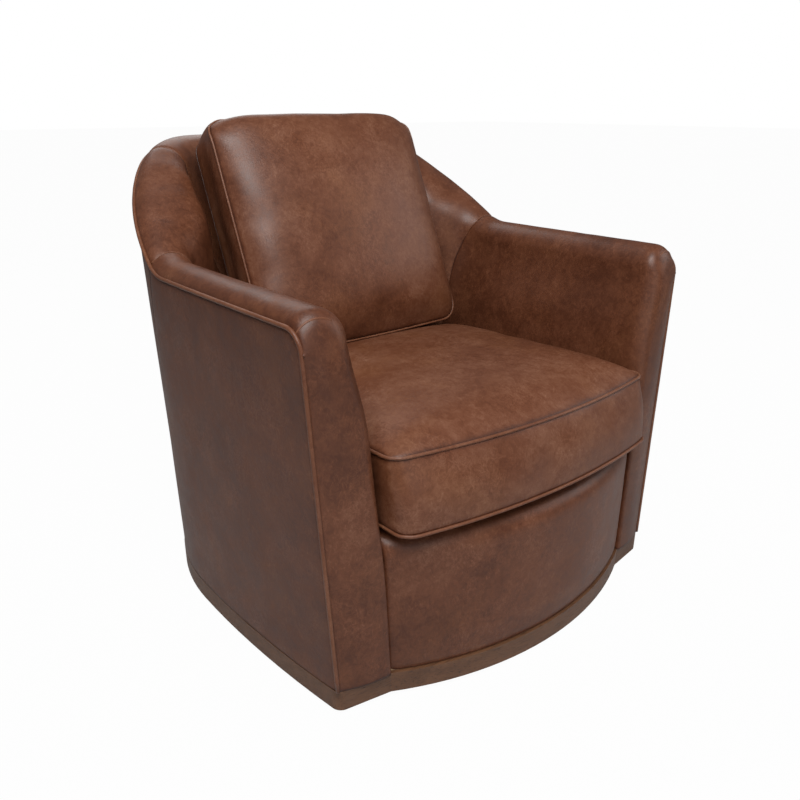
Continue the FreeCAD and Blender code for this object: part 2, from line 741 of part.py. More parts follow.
def cord_ring(places, index):
    """A six-sided ring square to the path at one of its places."""
    here, inward = places[index]
    before = places[max(index - 1, 0)][0]
    after = places[min(index + 1, len(places) - 1)][0]
    along = (here - before).normalize() if index else Vector()
    if index < len(places) - 1:
        along = along + (after - here).normalize()
    along.normalize()
    across = (inward - along * inward.dot(along)).normalize()
    up = along.cross(across)
    corners = []
    for corner in range(6):
        angle = math.radians(60 * corner)
        corners.append(here + across * (s.welt_radius * math.cos(angle)) + up * (s.welt_radius * math.sin(angle)))
    return Part.makePolygon(corners + corners[:1])


left_places = cord_points()
right_places = [(Vector(-here.x, here.y, here.z), Vector(-inward.x, inward.y, 0))
                for here, inward in reversed(left_places[:-1])]
cord_places = left_places + right_places
part_feature("edge_welt", loft([cord_ring(cord_places, index) for index in range(len(cord_places))]))

# Padded front rail: leather, pad and board turned about the upright axis of the bow.
BOW_SPREAD = 35


def bowed(*steps):
    """A solid turned about the bow's axis; a step is a corner (radius, z), or an arc's middle and end."""
    first = Vector(steps[0][0], 0, steps[0][1])
    here = first
    edges = []
    for step in steps[1:]:
        if isinstance(step[0], tuple):
            end = Vector(step[1][0], 0, step[1][1])
            edges += chords(Part.Arc(here, Vector(step[0][0], 0, step[0][1]), end), ARC_CHORDS)
        else:
            end = Vector(step[0], 0, step[1])
            edges.append(Part.makeLine(here, end))
        here = end
    edges.append(Part.makeLine(here, first))
    face = Part.Face(Part.Wire(edges))
    face.rotate(Vector(), Vector(0, 0, 1), -90 - BOW_SPREAD)
    solid = face.revolve(Vector(), Vector(0, 0, 1), 2 * BOW_SPREAD)
    solid.translate(Vector(0, bow_centre, 0))
    return solid


def between_arms():
    """The room between the inside faces of the arms at the front, less a small gap."""
    corners = [
        Vector(s.base_half_gap - s.fit_gap, -600, base_level - 1),
        Vector(s.rail_half, -600, s.seat_plane_height),
        Vector(s.rail_half, -600, s.rail_top + 1),
    ]
    other = [Vector(-corner.x, corner.y, corner.z) for corner in reversed(corners)]
    return Part.Face(Part.makePolygon(corners + other + corners[:1])).extrude(Vector(0, 600, 0))


def rolled_top(skin):
    """Corners of the rail's rounded top, inside a skin."""
    centre_r = s.bow_radius - s.rail_top_round
    centre_z = s.rail_top - s.rail_top_round
    radius = s.rail_top_round - skin
    diagonal = radius * math.sqrt(0.5)
    return (centre_r + radius, centre_z), ((centre_r + diagonal, centre_z + diagonal), (centre_r, centre_z + radius))


room = between_arms()
outer_side, outer_roll = rolled_top(0.0)
inner_side, inner_roll = rolled_top(s.leather)
roll_back = s.bow_radius - s.rail_pad_depth
border = bowed((s.bow_radius, base_level), outer_side, outer_roll, (roll_back, s.rail_top),
               (roll_back, s.rail_top - s.leather), inner_roll[1], (inner_roll[0], inner_side),
               (inner_side[0], base_level))
part_feature("front_border_leather", border.common(room))
pad_side, pad_roll = rolled_top(skin_back)
rail_front = s.bow_radius - skin_back - s.rail_pad - s.fit_gap
pad_floor = s.seat_plane_height + s.spring_wire + s.board
rail_cover = bowed((pad_side[0], deck_top + s.fit_gap), pad_side, pad_roll, (roll_back, s.rail_top - skin_back),
                   (roll_back, pad_floor), (rail_front + s.fit_gap, pad_floor),
                   (rail_front + s.fit_gap, deck_top + s.fit_gap))
part_feature("front_rail_pad", rail_cover.common(room))
rail_bottom = s.seat_plane_height + rail_low
rail_back = rail_front - s.rail_thickness
board_blank = bowed((rail_front, rail_bottom), (rail_front, s.rail_top), (rail_back, s.rail_top), (rail_back, rail_bottom))
over_rail = seat_prism(-s.bow_radius, 0, -clip_drop, s.half_width)
part_feature("front_seat_rail", board_blank.common(room).cut(over_rail))
upright = bowed((rail_front, deck_top), (rail_front, rail_bottom), (rail_back, rail_bottom), (rail_back, deck_top))
uprights = []
for side in (-1, 1):
    near = side * s.upright_place - s.upright_width / 2
    uprights += upright.common(half_space(-600, 0, x_low=near, x_high=near + s.upright_width)).Solids
part_feature("rail_uprights", Part.makeCompound(uprights))

# Plinth and base deck
plinth_outer = plan_block(s.plinth_proud, plinth_bottom, s.plinth_height)
corner_edges = [edge for edge in plinth_outer.Edges
                if abs(edge.tangentAt(edge.FirstParameter).z) > 0.99 and edge.CenterOfMass.y < -s.front_reach + 20
                and abs(edge.CenterOfMass.x) > s.front_half_width - 20]
plinth_outer = plinth_outer.makeFillet(s.plinth_corner, corner_edges)
plinth_inner = plan_block(s.plinth_proud - s.plinth_width, plinth_bottom, s.plinth_height)
part_feature("plinth", plinth_outer.cut(plinth_inner))


def on_circle(radius, count, index, z=0.0):
    """Place number index of count on a circle about the axis."""
    angle = 2 * math.pi * (index + 0.5) / count
    return Vector(radius * math.cos(angle), radius * math.sin(angle), z)


deck_blank = plan_block(-s.leather - s.deck_margin, base_level, s.deck_thickness)
bolt_places = [on_circle(s.bolt_circle, s.bolt_count, index, base_level) for index in range(int(s.bolt_count))]
bolt_holes = [Part.makeCylinder(s.bolt_radius + s.running_gap, s.deck_thickness, place) for place in bolt_places]
part_feature("base_deck", deck_blank.cut(bolt_holes))


# Swivel stack: turned and drilled pieces, with their sizes bound to the sheet.
def total(*terms):
    """Value and formula of a sum of sizes; a leading minus subtracts and a slash divides."""
    value = 0.0
    formula = ""
    for term in terms:
        alias, _, part = term.lstrip("-").partition("/")
        share = 1 / float(part or 1)
        sign = -1 if term.startswith("-") else 1
        value += sign * share * getattr(s, alias)
        formula += f" {'-' if sign < 0 else '+'} Dimensions.{alias} * {share}"
    return value, formula.strip(" +")


def origin_part(body, role):
    return next(part for part in body.Origin.OriginFeatures if part.Role == role)


def new_body(name):
    body = doc.addObject("PartDesign::Body", name)
    body.Label = name
    subparts.append(body)
    return body


def circles(body, name, level, *rings):
    """Sketch on the body's ground plane at a level; each ring is (distance along X, radius)."""
    sketch = body.newObject("Sketcher::SketchObject", name)
    sketch.AttachmentSupport = [(origin_part(body, "XY_Plane"), "")]
    sketch.MapMode = "FlatFace"
    sketch.setExpression(".AttachmentOffset.Base.z", level[1])
    for distance, radius in rings:
        start = distance[0] if distance else 0.0
        index = sketch.addGeometry(Part.Circle(Vector(start, 0, 0), Vector(0, 0, 1), radius[0]))
        if distance:
            sketch.addConstraint(Sketcher.Constraint("PointOnObject", index, 3, -1))
            place = sketch.addConstraint(Sketcher.Constraint("DistanceX", -1, 1, index, 3, distance[0]))
            sketch.setExpression(f"Constraints[{place}]", distance[1])
        else:
            sketch.addConstraint(Sketcher.Constraint("Coincident", index, 3, -1, 1))
        round_size = sketch.addConstraint(Sketcher.Constraint("Radius", index, radius[0]))
        sketch.setExpression(f"Constraints[{round_size}]", radius[1])
    return sketch


def pocket_outline(body, name, level):
    """Sketch of one roller's pocket on the body's ground plane, with its long side along X."""
    sketch = body.newObject("Sketcher::SketchObject", name)
    sketch.AttachmentSupport = [(origin_part(body, "XY_Plane"), "")]
    sketch.MapMode = "FlatFace"
    sketch.setExpression(".AttachmentOffset.Base.z", level[1])
    near = total("track_radius", "-roller_length/2", "-running_gap")
    far = total("track_radius", "roller_length/2", "running_gap")
    half = total("race_gap/2")
    corners = [Vector(near[0], -half[0], 0), Vector(far[0], -half[0], 0),
               Vector(far[0], half[0], 0), Vector(near[0], half[0], 0)]
    lines = [sketch.addGeometry(Part.LineSegment(corners[index], corners[(index + 1) % 4])) for index in range(4)]
    for index in range(4):
        sketch.addConstraint(Sketcher.Constraint("Coincident", lines[index], 2, lines[(index + 1) % 4], 1))
        sketch.addConstraint(Sketcher.Constraint("Vertical" if index % 2 else "Horizontal", lines[index]))
    sized = [("DistanceX", 1, near), ("DistanceX", 2, far), ("DistanceY", 1, (-half[0], f"-({half[1]})"))]
    for kind, end, amount in sized:
        number = sketch.addConstraint(Sketcher.Constraint(kind, -1, 1, lines[0], end, amount[0]))
        sketch.setExpression(f"Constraints[{number}]", amount[1])
    number = sketch.addConstraint(Sketcher.Constraint("DistanceY", -1, 1, lines[1], 2, half[0]))
    sketch.setExpression(f"Constraints[{number}]", half[1])
    return sketch


def pad(body, name, sketch, length):
    feature = body.newObject("PartDesign::Pad", name)
    feature.Profile = sketch
    feature.setExpression("Length", length[1])
    return feature


def drilled(body, name, sketch, depth, count, upwards=False):
    """Holes of one sketch repeated round the axis; they must take material away."""
    doc.recompute()
    before = body.Shape.Volume
    pocket = body.newObject("PartDesign::Pocket", name)
    pocket.Profile = sketch
    pocket.Reversed = upwards
    pocket.setExpression("Length", depth[1])
    pattern = body.newObject("PartDesign::PolarPattern", name + "_ring")
    pattern.Originals = [pocket]
    pattern.Axis = (origin_part(body, "Z_Axis"), [""])
    pattern.Angle = 360
    pattern.setExpression("Occurrences", f"Dimensions.{count}")
    body.Tip = pattern
    doc.recompute()
    if body.Shape.Volume > before - 1:
        raise RuntimeError(f"{body.Label}: {name} takes nothing away")


disc_level = total("glide_height")
disc_upper = total("glide_height", "disc_thickness")
race_upper = total("glide_height", "disc_thickness", "race_thickness")
turning = total("glide_height", "disc_thickness", "race_thickness", "race_gap")
turning_top = total("glide_height", "disc_thickness", "race_thickness", "race_gap", "race_thickness")
screw_place = total("screw_circle")
screw_hole = total("screw_radius", "running_gap")

disc = new_body("floor_disc")
pad(disc, "disc_plate", circles(disc, "disc_outline", disc_level, (None, total("disc_radius")),
                                (None, total("disc_bore"))), total("disc_thickness"))
drilled(disc, "disc_screw_holes", circles(disc, "disc_hole", disc_level, (screw_place, screw_hole)),
        total("disc_thickness"), "screw_count", upwards=True)

lower = new_body("lower_race")
pad(lower, "lower_plate", circles(lower, "lower_outline", disc_upper, (None, total("race_outer")),
                                  (None, total("race_inner"))), total("race_thickness"))
drilled(lower, "lower_screw_holes", circles(lower, "lower_hole", disc_upper, (screw_place, screw_hole)),
        total("screw_bite", "fit_gap"), "screw_count", upwards=True)

upper = new_body("upper_race")
hub_inner = total("race_inner", "-hub_wall")
pad(upper, "upper_plate", circles(upper, "upper_outline", turning, (None, total("race_outer")),
                                  (None, hub_inner)), total("race_thickness"))
hub = pad(upper, "upper_hub", circles(upper, "hub_outline", turning, (None, total("race_inner", "-running_gap")),
                                      (None, hub_inner)), total("race_gap", "race_thickness", "-hub_lift"))
hub.Reversed = True
upper_hole = circles(upper, "upper_hole", turning_top,
                     (total("bolt_circle"), total("bolt_radius", "running_gap")))
upper_hole.AttachmentOffset = Placement(Vector(), Rotation(Vector(0, 0, 1), 180 / s.bolt_count))
upper_hole.setExpression(".AttachmentOffset.Base.z", turning_top[1])
drilled(upper, "upper_bolt_holes", upper_hole, total("race_thickness"), "bolt_count")

cage = new_body("bearing_cage")
cage_level = total("glide_height", "disc_thickness", "race_thickness", "race_gap/2", "-cage_thickness/2")
pad(cage, "cage_ring", circles(cage, "cage_outline", cage_level, (None, total("track_radius", "cage_width/2")),
                               (None, total("track_radius", "-cage_width/2"))), total("cage_thickness"))
drilled(cage, "cage_pockets", pocket_outline(cage, "cage_pocket", cage_level), total("cage_thickness"),
        "roller_count", upwards=True)


def primitive(kind, name, place, **formulas):
    """A Part primitive whose sizes are bound to the sheet."""
    feature = doc.addObject(kind, name)
    for key, formula in formulas.items():
        feature.setExpression(key, formula)
    feature.Placement = Placement(place, Rotation())
    return feature


def turned(radius, count, index, z):
    """Place number index of count on a circle, the first one on the X axis."""
    angle = 2 * math.pi * index / count
    return Vector(radius * math.cos(angle), radius * math.sin(angle), z)


def group(name, pieces):
    """Separate like pieces that share one name."""
    feature = doc.addObject("Part::Compound", name)
    feature.Label = name
    feature.Links = pieces
    subparts.append(feature)


def fused(name, pieces):
    feature = doc.addObject("Part::MultiFuse", name)
    feature.Shapes = pieces
    return feature


group("floor_glides", [
    primitive("Part::Cylinder", f"glide_{index}", turned(s.glide_circle, s.glide_count, index, 0.0),
              Radius="Dimensions.glide_radius", Height="Dimensions.glide_height")
    for index in range(int(s.glide_count))])
rollers = []
for index in range(int(s.roller_count)):
    foot = turned(s.track_radius - s.roller_length / 2, s.roller_count, index, roller_level)
    roller = primitive("Part::Cylinder", f"roller_{index}", foot, Height="Dimensions.roller_length",
                       Radius="Dimensions.race_gap / 2 - Dimensions.running_gap")
    roller.Placement = Placement(foot, Rotation(Vector(0, 0, 1), Vector(foot.x, foot.y, 0)))
    rollers.append(roller)
group("bearing_rollers", rollers)
screws = []
for index in range(int(s.screw_count)):
    foot = turned(s.screw_circle, s.screw_count, index, disc_bottom)
    below = turned(s.screw_circle, s.screw_count, index, disc_bottom - s.screw_head_height)
    head = primitive("Part::Prism", f"screw_head_{index}", below,
                     Circumradius="Dimensions.screw_head_radius", Height="Dimensions.screw_head_height")
    shank = primitive("Part::Cylinder", f"screw_shank_{index}", foot, Radius="Dimensions.screw_radius",
                      Height="Dimensions.disc_thickness + Dimensions.screw_bite")
    screws.append(fused(f"screw_{index}", [head, shank]))
group("race_screws", screws)
bolts = []
for index in range(int(s.bolt_count)):
    foot = on_circle(s.bolt_circle, s.bolt_count, index, upper_race_bottom)
    top = Vector(foot.x, foot.y, deck_top)
    head = primitive("Part::Prism", f"bolt_head_{index}", top,
                     Circumradius="Dimensions.bolt_head_radius", Height="Dimensions.bolt_head_height")
    shank = primitive("Part::Cylinder", f"bolt_shank_{index}", foot, Radius="Dimensions.bolt_radius",
                      Height="Dimensions.race_thickness + Dimensions.deck_thickness")
    bolts.append(fused(f"bolt_{index}", [head, shank]))
group("race_bolts", bolts)

# Seat suspension and deck lie in the tilted plane of the seat frame. Here Y counts from its front.
seat_placement = Placement(Vector(0, -s.seat_plane_front, s.seat_plane_height), Rotation(Vector(1, 0, 0), -s.seat_slope))
rail_middle = (rail_front + rail_back) / 2
back_end = back_rail_face - s.rail_thickness / 2 + s.seat_plane_front


def front_end(x):
    """Middle of the front rail at a distance x from the middle of the chair."""
    return bow_centre - math.sqrt(rail_middle ** 2 - x ** 2) + s.seat_plane_front


def zigzag(length):
    """Closed outline of a flat zigzag wire laid along Y."""
    count = round(length / (2 * s.spring_loop))
    pitch = length / count
    reach = (s.spring_width - s.spring_wire) / 2
    line = [Vector(0, 0, 0)]
    for turn in range(count):
        side = reach if turn % 2 else -reach
        line += [Vector(side, (turn + 0.25) * pitch, 0), Vector(side, (turn + 0.75) * pitch, 0)]
    line.append(Vector(0, length, 0))
    left = []
    right = []
    for index, point in enumerate(line):
        before = (point - line[index - 1]).normalize() if index else (line[1] - point).normalize()
        after = (line[index + 1] - point).normalize() if index < len(line) - 1 else before
        normals = [Vector(-way.y, way.x, 0) for way in (before, after)]
        mitre = (normals[0] + normals[1]) * (s.spring_wire / 2 / (1 + normals[0].dot(normals[1])))
        left.append(point + mitre)
        right.append(point - mitre)
    return Part.Face(Part.makePolygon(left + right[::-1] + left[:1]))


springs = []
clips = []
for index in range(int(s.spring_count)):
    spring_x = (index - (s.spring_count - 1) / 2) * s.spring_pitch
    start_y = front_end(spring_x)
    spring = zigzag(back_end - start_y).extrude(Vector(0, 0, s.spring_wire))
    spring.translate(Vector(spring_x, start_y, 0))
    springs.append(spring)
    for end_y in (start_y, back_end):
        corner = Vector(spring_x - s.clip_width / 2, end_y - s.clip_length / 2, -s.clip_thickness)
        clips.append(Part.makeBox(s.clip_width, s.clip_length, s.clip_thickness, corner))
part_feature("seat_springs", Part.makeCompound(springs), seat_placement)
part_feature("spring_clips", Part.makeCompound(clips), seat_placement)


BOW_CHORDS = 5
CORNER_CHORDS = 4


def rounded_outline(half, low, high, low_radius, high_radius, bow, z, light=True):
    """Closed outline at level z: bowed lower edge, straight sides and upper edge, round corners."""
    centre = low + bow
    corner_x = half - low_radius
    corner_y = centre - math.sqrt((bow - low_radius) ** 2 - corner_x ** 2)
    angle = math.atan2(corner_y - centre, corner_x)
    touch = (bow * math.cos(angle), centre + bow * math.sin(angle))
    low_middle = (corner_x + low_radius * math.cos(angle / 2), corner_y + low_radius * math.sin(angle / 2))
    diagonal = high_radius * (1 - math.sqrt(0.5))
    upper_x = half - high_radius
    upper_y = high - high_radius

    def at(x, y):
        return Vector(x, y, z)
    bowed_edge = Part.Arc(at(-touch[0], touch[1]), at(0, low), at(*touch))
    right_low = Part.Arc(at(*touch), at(*low_middle), at(half, corner_y))
    right_high = Part.Arc(at(half, upper_y), at(half - diagonal, high - diagonal), at(upper_x, high))
    left_high = Part.Arc(at(-upper_x, high), at(-half + diagonal, high - diagonal), at(-half, upper_y))
    left_low = Part.Arc(at(-half, corner_y), at(-low_middle[0], low_middle[1]), at(-touch[0], touch[1]))
    edges = chords(bowed_edge, light * BOW_CHORDS) + chords(right_low, light * ARC_CHORDS)
    edges.append(Part.makeLine(at(half, corner_y), at(half, upper_y)))
    edges += chords(right_high, light * CORNER_CHORDS)
    edges.append(Part.makeLine(at(upper_x, high), at(-upper_x, high)))
    edges += chords(left_high, light * CORNER_CHORDS)
    edges.append(Part.makeLine(at(-half, upper_y), at(-half, corner_y)))
    edges += chords(left_low, light * ARC_CHORDS)
    return Part.Wire(edges)


def deck_outline(z):
    front = s.seat_plane_front - s.bow_reach + s.rail_pad_depth + s.fit_gap
    back = s.low_back_reach + s.seat_plane_front - s.deck_pad_margin
    return rounded_outline(s.seat_half_gap - s.side_draw, front, back, s.cushion_welt, s.low_corner, s.bow_radius - s.rail_pad_depth - s.fit_gap, z)


felt_level = s.spring_wire + s.fit_gap
felt_top = felt_level + s.insulator
pad_level = felt_top + s.fit_gap
pad_top = pad_level + s.deck_pad
felt = Part.Face(deck_outline(felt_level)).extrude(Vector(0, 0, s.insulator))
part_feature("insulator_felt", felt, seat_placement)
deck_block = Part.Face(deck_outline(pad_level)).extrude(Vector(0, 0, s.deck_pad))
part_feature("deck_pad", deck_block, seat_placement)


# Loose cushions: a leather casing round a core, with a welt round each panel and a zip in the border.
FLAT = 1e-6
CROWN = [(0.93, 0.46), (0.74, 0.82), (0.36, 1.0)]


def facet(corners):
    return Part.Face(Part.makePolygon(corners + corners[:1]))


def strips(ring, other):
    """Flat faces between two rings with as many corners; a twisted strip is split across."""
    faces = []
    for index, corner in enumerate(ring):
        after = (index + 1) % len(ring)
        corners = [corner, ring[after], other[after], other[index]]
        normal = (corners[1] - corner).cross(corners[3] - corner)
        if abs((corners[2] - corner).dot(normal)) < FLAT * normal.Length:
            faces.append(facet(corners))
        else:
            faces.append(facet(corners[:3]))
            faces.append(facet([corner, corners[2], corners[3]]))
    return faces


def flat_loft(wires):
    """A solid ruled through straight-sided wires, with flat faces."""
    rings = [[edge.valueAt(edge.FirstParameter) for edge in wire.Edges] for wire in wires]
    faces = [facet(rings[0]), facet(rings[-1])]
    for ring, other in zip(rings, rings[1:]):
        faces += strips(ring, other)
    shell = Part.makeShell(faces)
    shell.sewShape()
    solid = Part.makeSolid(shell.Shells[0])
    return solid if solid.Volume > 0 else solid.reversed()


def cushion_form(outline, border, upper_crown, lower_crown, inset):
    """The whole cushion inside a skin: crowned panel, drawn-in border, crowned panel."""
    top = border - inset
    rings = [outline(0.0, inset, scale, inset - lower_crown * height) for scale, height in reversed(CROWN)]
    rings.append(outline(0.0, inset, 1.0, inset))
    rings.append(outline(0.5, inset + s.side_draw, 1.0, border / 2))
    rings.append(outline(1.0, inset, 1.0, top))
    rings += [outline(1.0, inset, scale, top + upper_crown * height) for scale, height in CROWN]
    return flat_loft(rings)


def cushion_cord(outline, share, level):
    """A closed six-sided cord just outside the seam of a panel."""
    path = outline(share, -s.cushion_welt - s.fit_gap, 1.0, level, False)
    first = path.Edges[0]
    start = first.valueAt(first.FirstParameter)
    along = first.tangentAt(first.FirstParameter)
    side = Vector(-along.y, along.x, 0)
    ring = []
    for corner in range(6):
        angle = math.radians(60 * corner)
        ring.append(start + side * (s.cushion_welt * math.cos(angle)) + Vector(0, 0, s.cushion_welt * math.sin(angle)))
    return path.makePipeShell([Part.makePolygon(ring + ring[:1])], True, False)


def scaled(low, high, scale):
    middle = (low + high) / 2
    return middle + (low - middle) * scale, middle + (high - middle) * scale


def seat_outline(share, inset, scale, z, light=True):
    """Outline of the seat cushion; share 0 is its lower welt and 1 its upper one."""
    half = s.seat_half - inset
    front = -s.seat_bow + share * s.seat_setback + inset + s.seat_plane_front
    back = s.seat_back - inset + s.seat_plane_front
    low, high = scaled(front, back, scale)
    return rounded_outline(half * scale, low, high, (s.seat_corner - inset) * scale,
                           (s.seat_back_corner - inset) * scale, (s.seat_bow_radius - inset) * scale, z, light)


def pillow_outline(share, inset, scale, z, light=True):
    """Outline of the back cushion; share 0 is its back panel and 1 its front panel."""
    half = s.pillow_back_half + share * (s.pillow_half - s.pillow_back_half) - inset
    bottom = (1 - share) * (s.pillow_height - s.pillow_back_height) + inset
    low, high = scaled(bottom, s.pillow_height - inset, scale)
    corner = (s.pillow_corner - inset) * scale
    return rounded_outline(half * scale, low, high, corner, corner, (s.pillow_bow - inset) * scale, z, light)


def loose_cushion(name, outline, border, upper_crown, lower_crown, placement):
    """Casing, core and both welts of one cushion."""
    skin = cushion_form(outline, border, upper_crown, lower_crown, 0.0)
    hollow = cushion_form(outline, border, upper_crown, lower_crown, s.leather)
    part_feature(name + "_casing", skin.cut(hollow), placement)
    part_feature(name + "_core", cushion_form(outline, border, upper_crown, lower_crown, skin_back), placement)
    cords = [cushion_cord(outline, share, share * border) for share in (0.0, 1.0)]
    part_feature(name + "_welts", Part.makeCompound(cords), placement)


seat_lift = pad_top + s.fit_gap + s.seat_sag
lifted = seat_placement.multiply(Placement(Vector(0, 0, seat_lift), Rotation()))
loose_cushion("seat", seat_outline, s.seat_border, s.seat_crown, s.seat_sag, lifted)
seat_zip_y = s.seat_back + s.seat_plane_front - s.side_draw + s.zip_gap
seat_zip = Part.makeBox(s.zip_length, s.zip_thickness, s.zip_width,
                        Vector(-s.zip_length / 2, seat_zip_y, (s.seat_border - s.zip_width) / 2))
part_feature("seat_zip", seat_zip, lifted)

lean = math.radians(s.pillow_lean)
facing = Vector(0, -math.cos(lean), math.sin(lean))
upwards = Vector(0, math.sin(lean), math.cos(lean))
pillow_corner = Vector(0, s.pillow_top_reach, s.pillow_top) - upwards * s.pillow_height - facing * s.pillow_border
pillow_placement = Placement(pillow_corner, Rotation(Vector(1, 0, 0), 90 - s.pillow_lean))
loose_cushion("back", pillow_outline, s.pillow_border, s.pillow_crown, s.pillow_back_crown, pillow_placement)
shortfall = s.pillow_height - s.pillow_back_height
zip_tilt = math.degrees(math.atan2(shortfall, s.pillow_border))
zip_plate = Part.makeBox(s.zip_length, s.zip_thickness, s.zip_width,
                         Vector(-s.zip_length / 2, -s.zip_thickness - s.zip_gap, -s.zip_width / 2))
zip_place = Placement(Vector(0, shortfall / 2 + s.side_draw, s.pillow_border / 2),
                      Rotation(Vector(1, 0, 0), zip_tilt))
part_feature("back_zip", zip_plate, pillow_placement.multiply(zip_place))

doc.recompute()
for item in doc.Objects:
    if "Invalid" in item.State or "Error" in item.State:
        raise RuntimeError(f"{item.Label} did not compute")
for feature in subparts:
    if feature.Shape.isNull() or not feature.Shape.isValid():
        raise RuntimeError(f"{feature.Label} has no valid shape")
os.makedirs("parts", exist_ok=True)
for feature in subparts:
    feature.Shape.exportStep(f"parts/{feature.Label}.step")
print(f"{len(subparts)} sub-parts written")
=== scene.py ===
# %% [markdown]
# # A leather barrel chair
# The chair is a deep tub on a thin wooden plinth, covered in waxed brown leather, with a loose seat
# cushion and a loose back cushion. The solids of its frame are loaded first and stay where they are.
# Everything that is soft is then made again round them, because leather is read by its swelling
# faces, its seams and its cords, which plain solids can't show.

import json
import math
from types import SimpleNamespace

import bmesh
import bpy
from mathutils import Matrix, Vector, noise


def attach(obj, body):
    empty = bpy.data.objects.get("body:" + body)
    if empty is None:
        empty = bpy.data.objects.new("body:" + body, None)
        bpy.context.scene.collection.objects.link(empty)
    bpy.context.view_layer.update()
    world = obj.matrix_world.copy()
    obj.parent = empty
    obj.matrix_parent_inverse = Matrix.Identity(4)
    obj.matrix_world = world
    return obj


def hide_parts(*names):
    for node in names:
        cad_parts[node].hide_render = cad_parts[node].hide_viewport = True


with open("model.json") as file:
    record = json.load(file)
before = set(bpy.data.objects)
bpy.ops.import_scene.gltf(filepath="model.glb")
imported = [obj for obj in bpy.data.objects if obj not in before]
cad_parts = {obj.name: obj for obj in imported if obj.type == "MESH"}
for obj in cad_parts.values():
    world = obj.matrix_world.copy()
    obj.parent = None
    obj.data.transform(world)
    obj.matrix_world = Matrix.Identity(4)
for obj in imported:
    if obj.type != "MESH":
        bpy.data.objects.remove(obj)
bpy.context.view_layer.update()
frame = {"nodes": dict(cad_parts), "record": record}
scene = bpy.context.scene

# %% [markdown]
# ## Camera
# A lens is best set before any shape, so that each piece can be judged in the picture it has to
# match. The place, tilt and lens below come from the outline of the plinth and the arms in the
# photograph. The small shift stands for the crop of the picture.

# %% Camera
CAMERA_PLACE = Vector((-0.8355, -1.1099, 0.8450))
CAMERA_TURN = math.radians(-37.81)
CAMERA_TILT = math.radians(21.72)
CAMERA_LENS = 33.68
CAMERA_SHIFT = (0.0151, 0.0035)
SENSOR = 36

backwards = Vector((
    math.sin(CAMERA_TURN) * math.cos(CAMERA_TILT),
    -math.cos(CAMERA_TURN) * math.cos(CAMERA_TILT),
    math.sin(CAMERA_TILT),
))
camera_data = bpy.data.cameras.new("photo_camera")
camera_data.lens = CAMERA_LENS
camera_data.sensor_width = SENSOR
camera_data.shift_x, camera_data.shift_y = CAMERA_SHIFT
camera = bpy.data.objects.new("photo_camera", camera_data)
camera.location = CAMERA_PLACE
camera.rotation_mode = "QUATERNION"
camera.rotation_quaternion = (-backwards).to_track_quat("-Z", "Y")
scene.collection.objects.link(camera)
scene.camera = camera
scene.view_settings.view_transform = "Standard"
print("camera stands", round(CAMERA_PLACE.length, 2), "m from the origin, with a lens of", CAMERA_LENS, "mm")

# %% [markdown]
# ## Light
# Waxed leather shows its shape by broad, soft highlights, so every lamp is a wide disk. A large one
# high on the left gives the sheen on the seat and the back cushion, a weaker one on the right opens
# the shadows, a low one in front keeps the plinth readable, and one behind lights the outside back.
# Each line below holds a lamp's place, its target, its width in metres and its power in watts.

# %% Lamps
LAMPS = {
    "key_lamp": ((-1.15, -1.4, 3.0), (0.0, 0.0, 0.45), 2.1, 104),
    "right_lamp": ((2.6, -1.8, 1.9), (0.0, 0.0, 0.45), 2.0, 20),
    "front_lamp": ((-0.6, -3.2, 1.0), (0.0, 0.0, 0.35), 1.8, 8),
    "back_lamp": ((0.8, 2.6, 2.4), (0.0, 0.0, 0.5), 2.0, 18),
}
for name, (place, target, width, power) in LAMPS.items():
    lamp_data = bpy.data.lights.new(name, "AREA")
    lamp_data.shape = "DISK"
    lamp_data.size = width
    lamp_data.energy = power
    lamp = bpy.data.objects.new(name, lamp_data)
    lamp.location = place
    lamp.rotation_euler = (Vector(target) - Vector(place)).to_track_quat("-Z", "Y").to_euler()
    scene.collection.objects.link(lamp)
print(len(LAMPS), "lamps")

# %% [markdown]
# ## Shader helpers
# A finish is a sum of many fields: clouds for the dye, ridges for the creases, cells for the grain.
# Written as nodes one by one, such a sum is hard to read. A small class lets the sums be written as
# plain Python, and one method adds every other kind of node.


# %% Numbers of a shader
class Field:
    """A number that varies over a surface; arithmetic on it adds Math nodes."""

    def __init__(self, finish, socket):
        self.finish = finish
        self.socket = socket

    def math(self, operation, *others):
        values = {index: value for index, value in enumerate((self, *others))}
        made = self.finish.node("ShaderNodeMath", {"operation": operation}, values)
        return Field(self.finish, made.outputs[0])

    def __add__(self, other):
        return self.math("ADD", other)

    def __mul__(self, other):
        return self.math("MULTIPLY", other)

    def __sub__(self, other):
        return self.math("SUBTRACT", other)

    def __rsub__(self, other):
        return (self * -1) + other

    def __pow__(self, other):
        return self.math("POWER", other)

    __radd__ = __add__
    __rmul__ = __mul__

    def between(self, low, high):
        """0 below low, 1 above high, smooth between."""
        made = self.finish.node("ShaderNodeMapRange", {"interpolation_type": "SMOOTHSTEP"},
                                {"Value": self, "From Min": low, "From Max": high})
        return Field(self.finish, made.outputs[0])

    def ridges(self, width):
        """1 along the lines where the field crosses a half, falling to 0 at the width."""
        return 1 - (self - 0.5).math("ABSOLUTE").between(0.0, width)


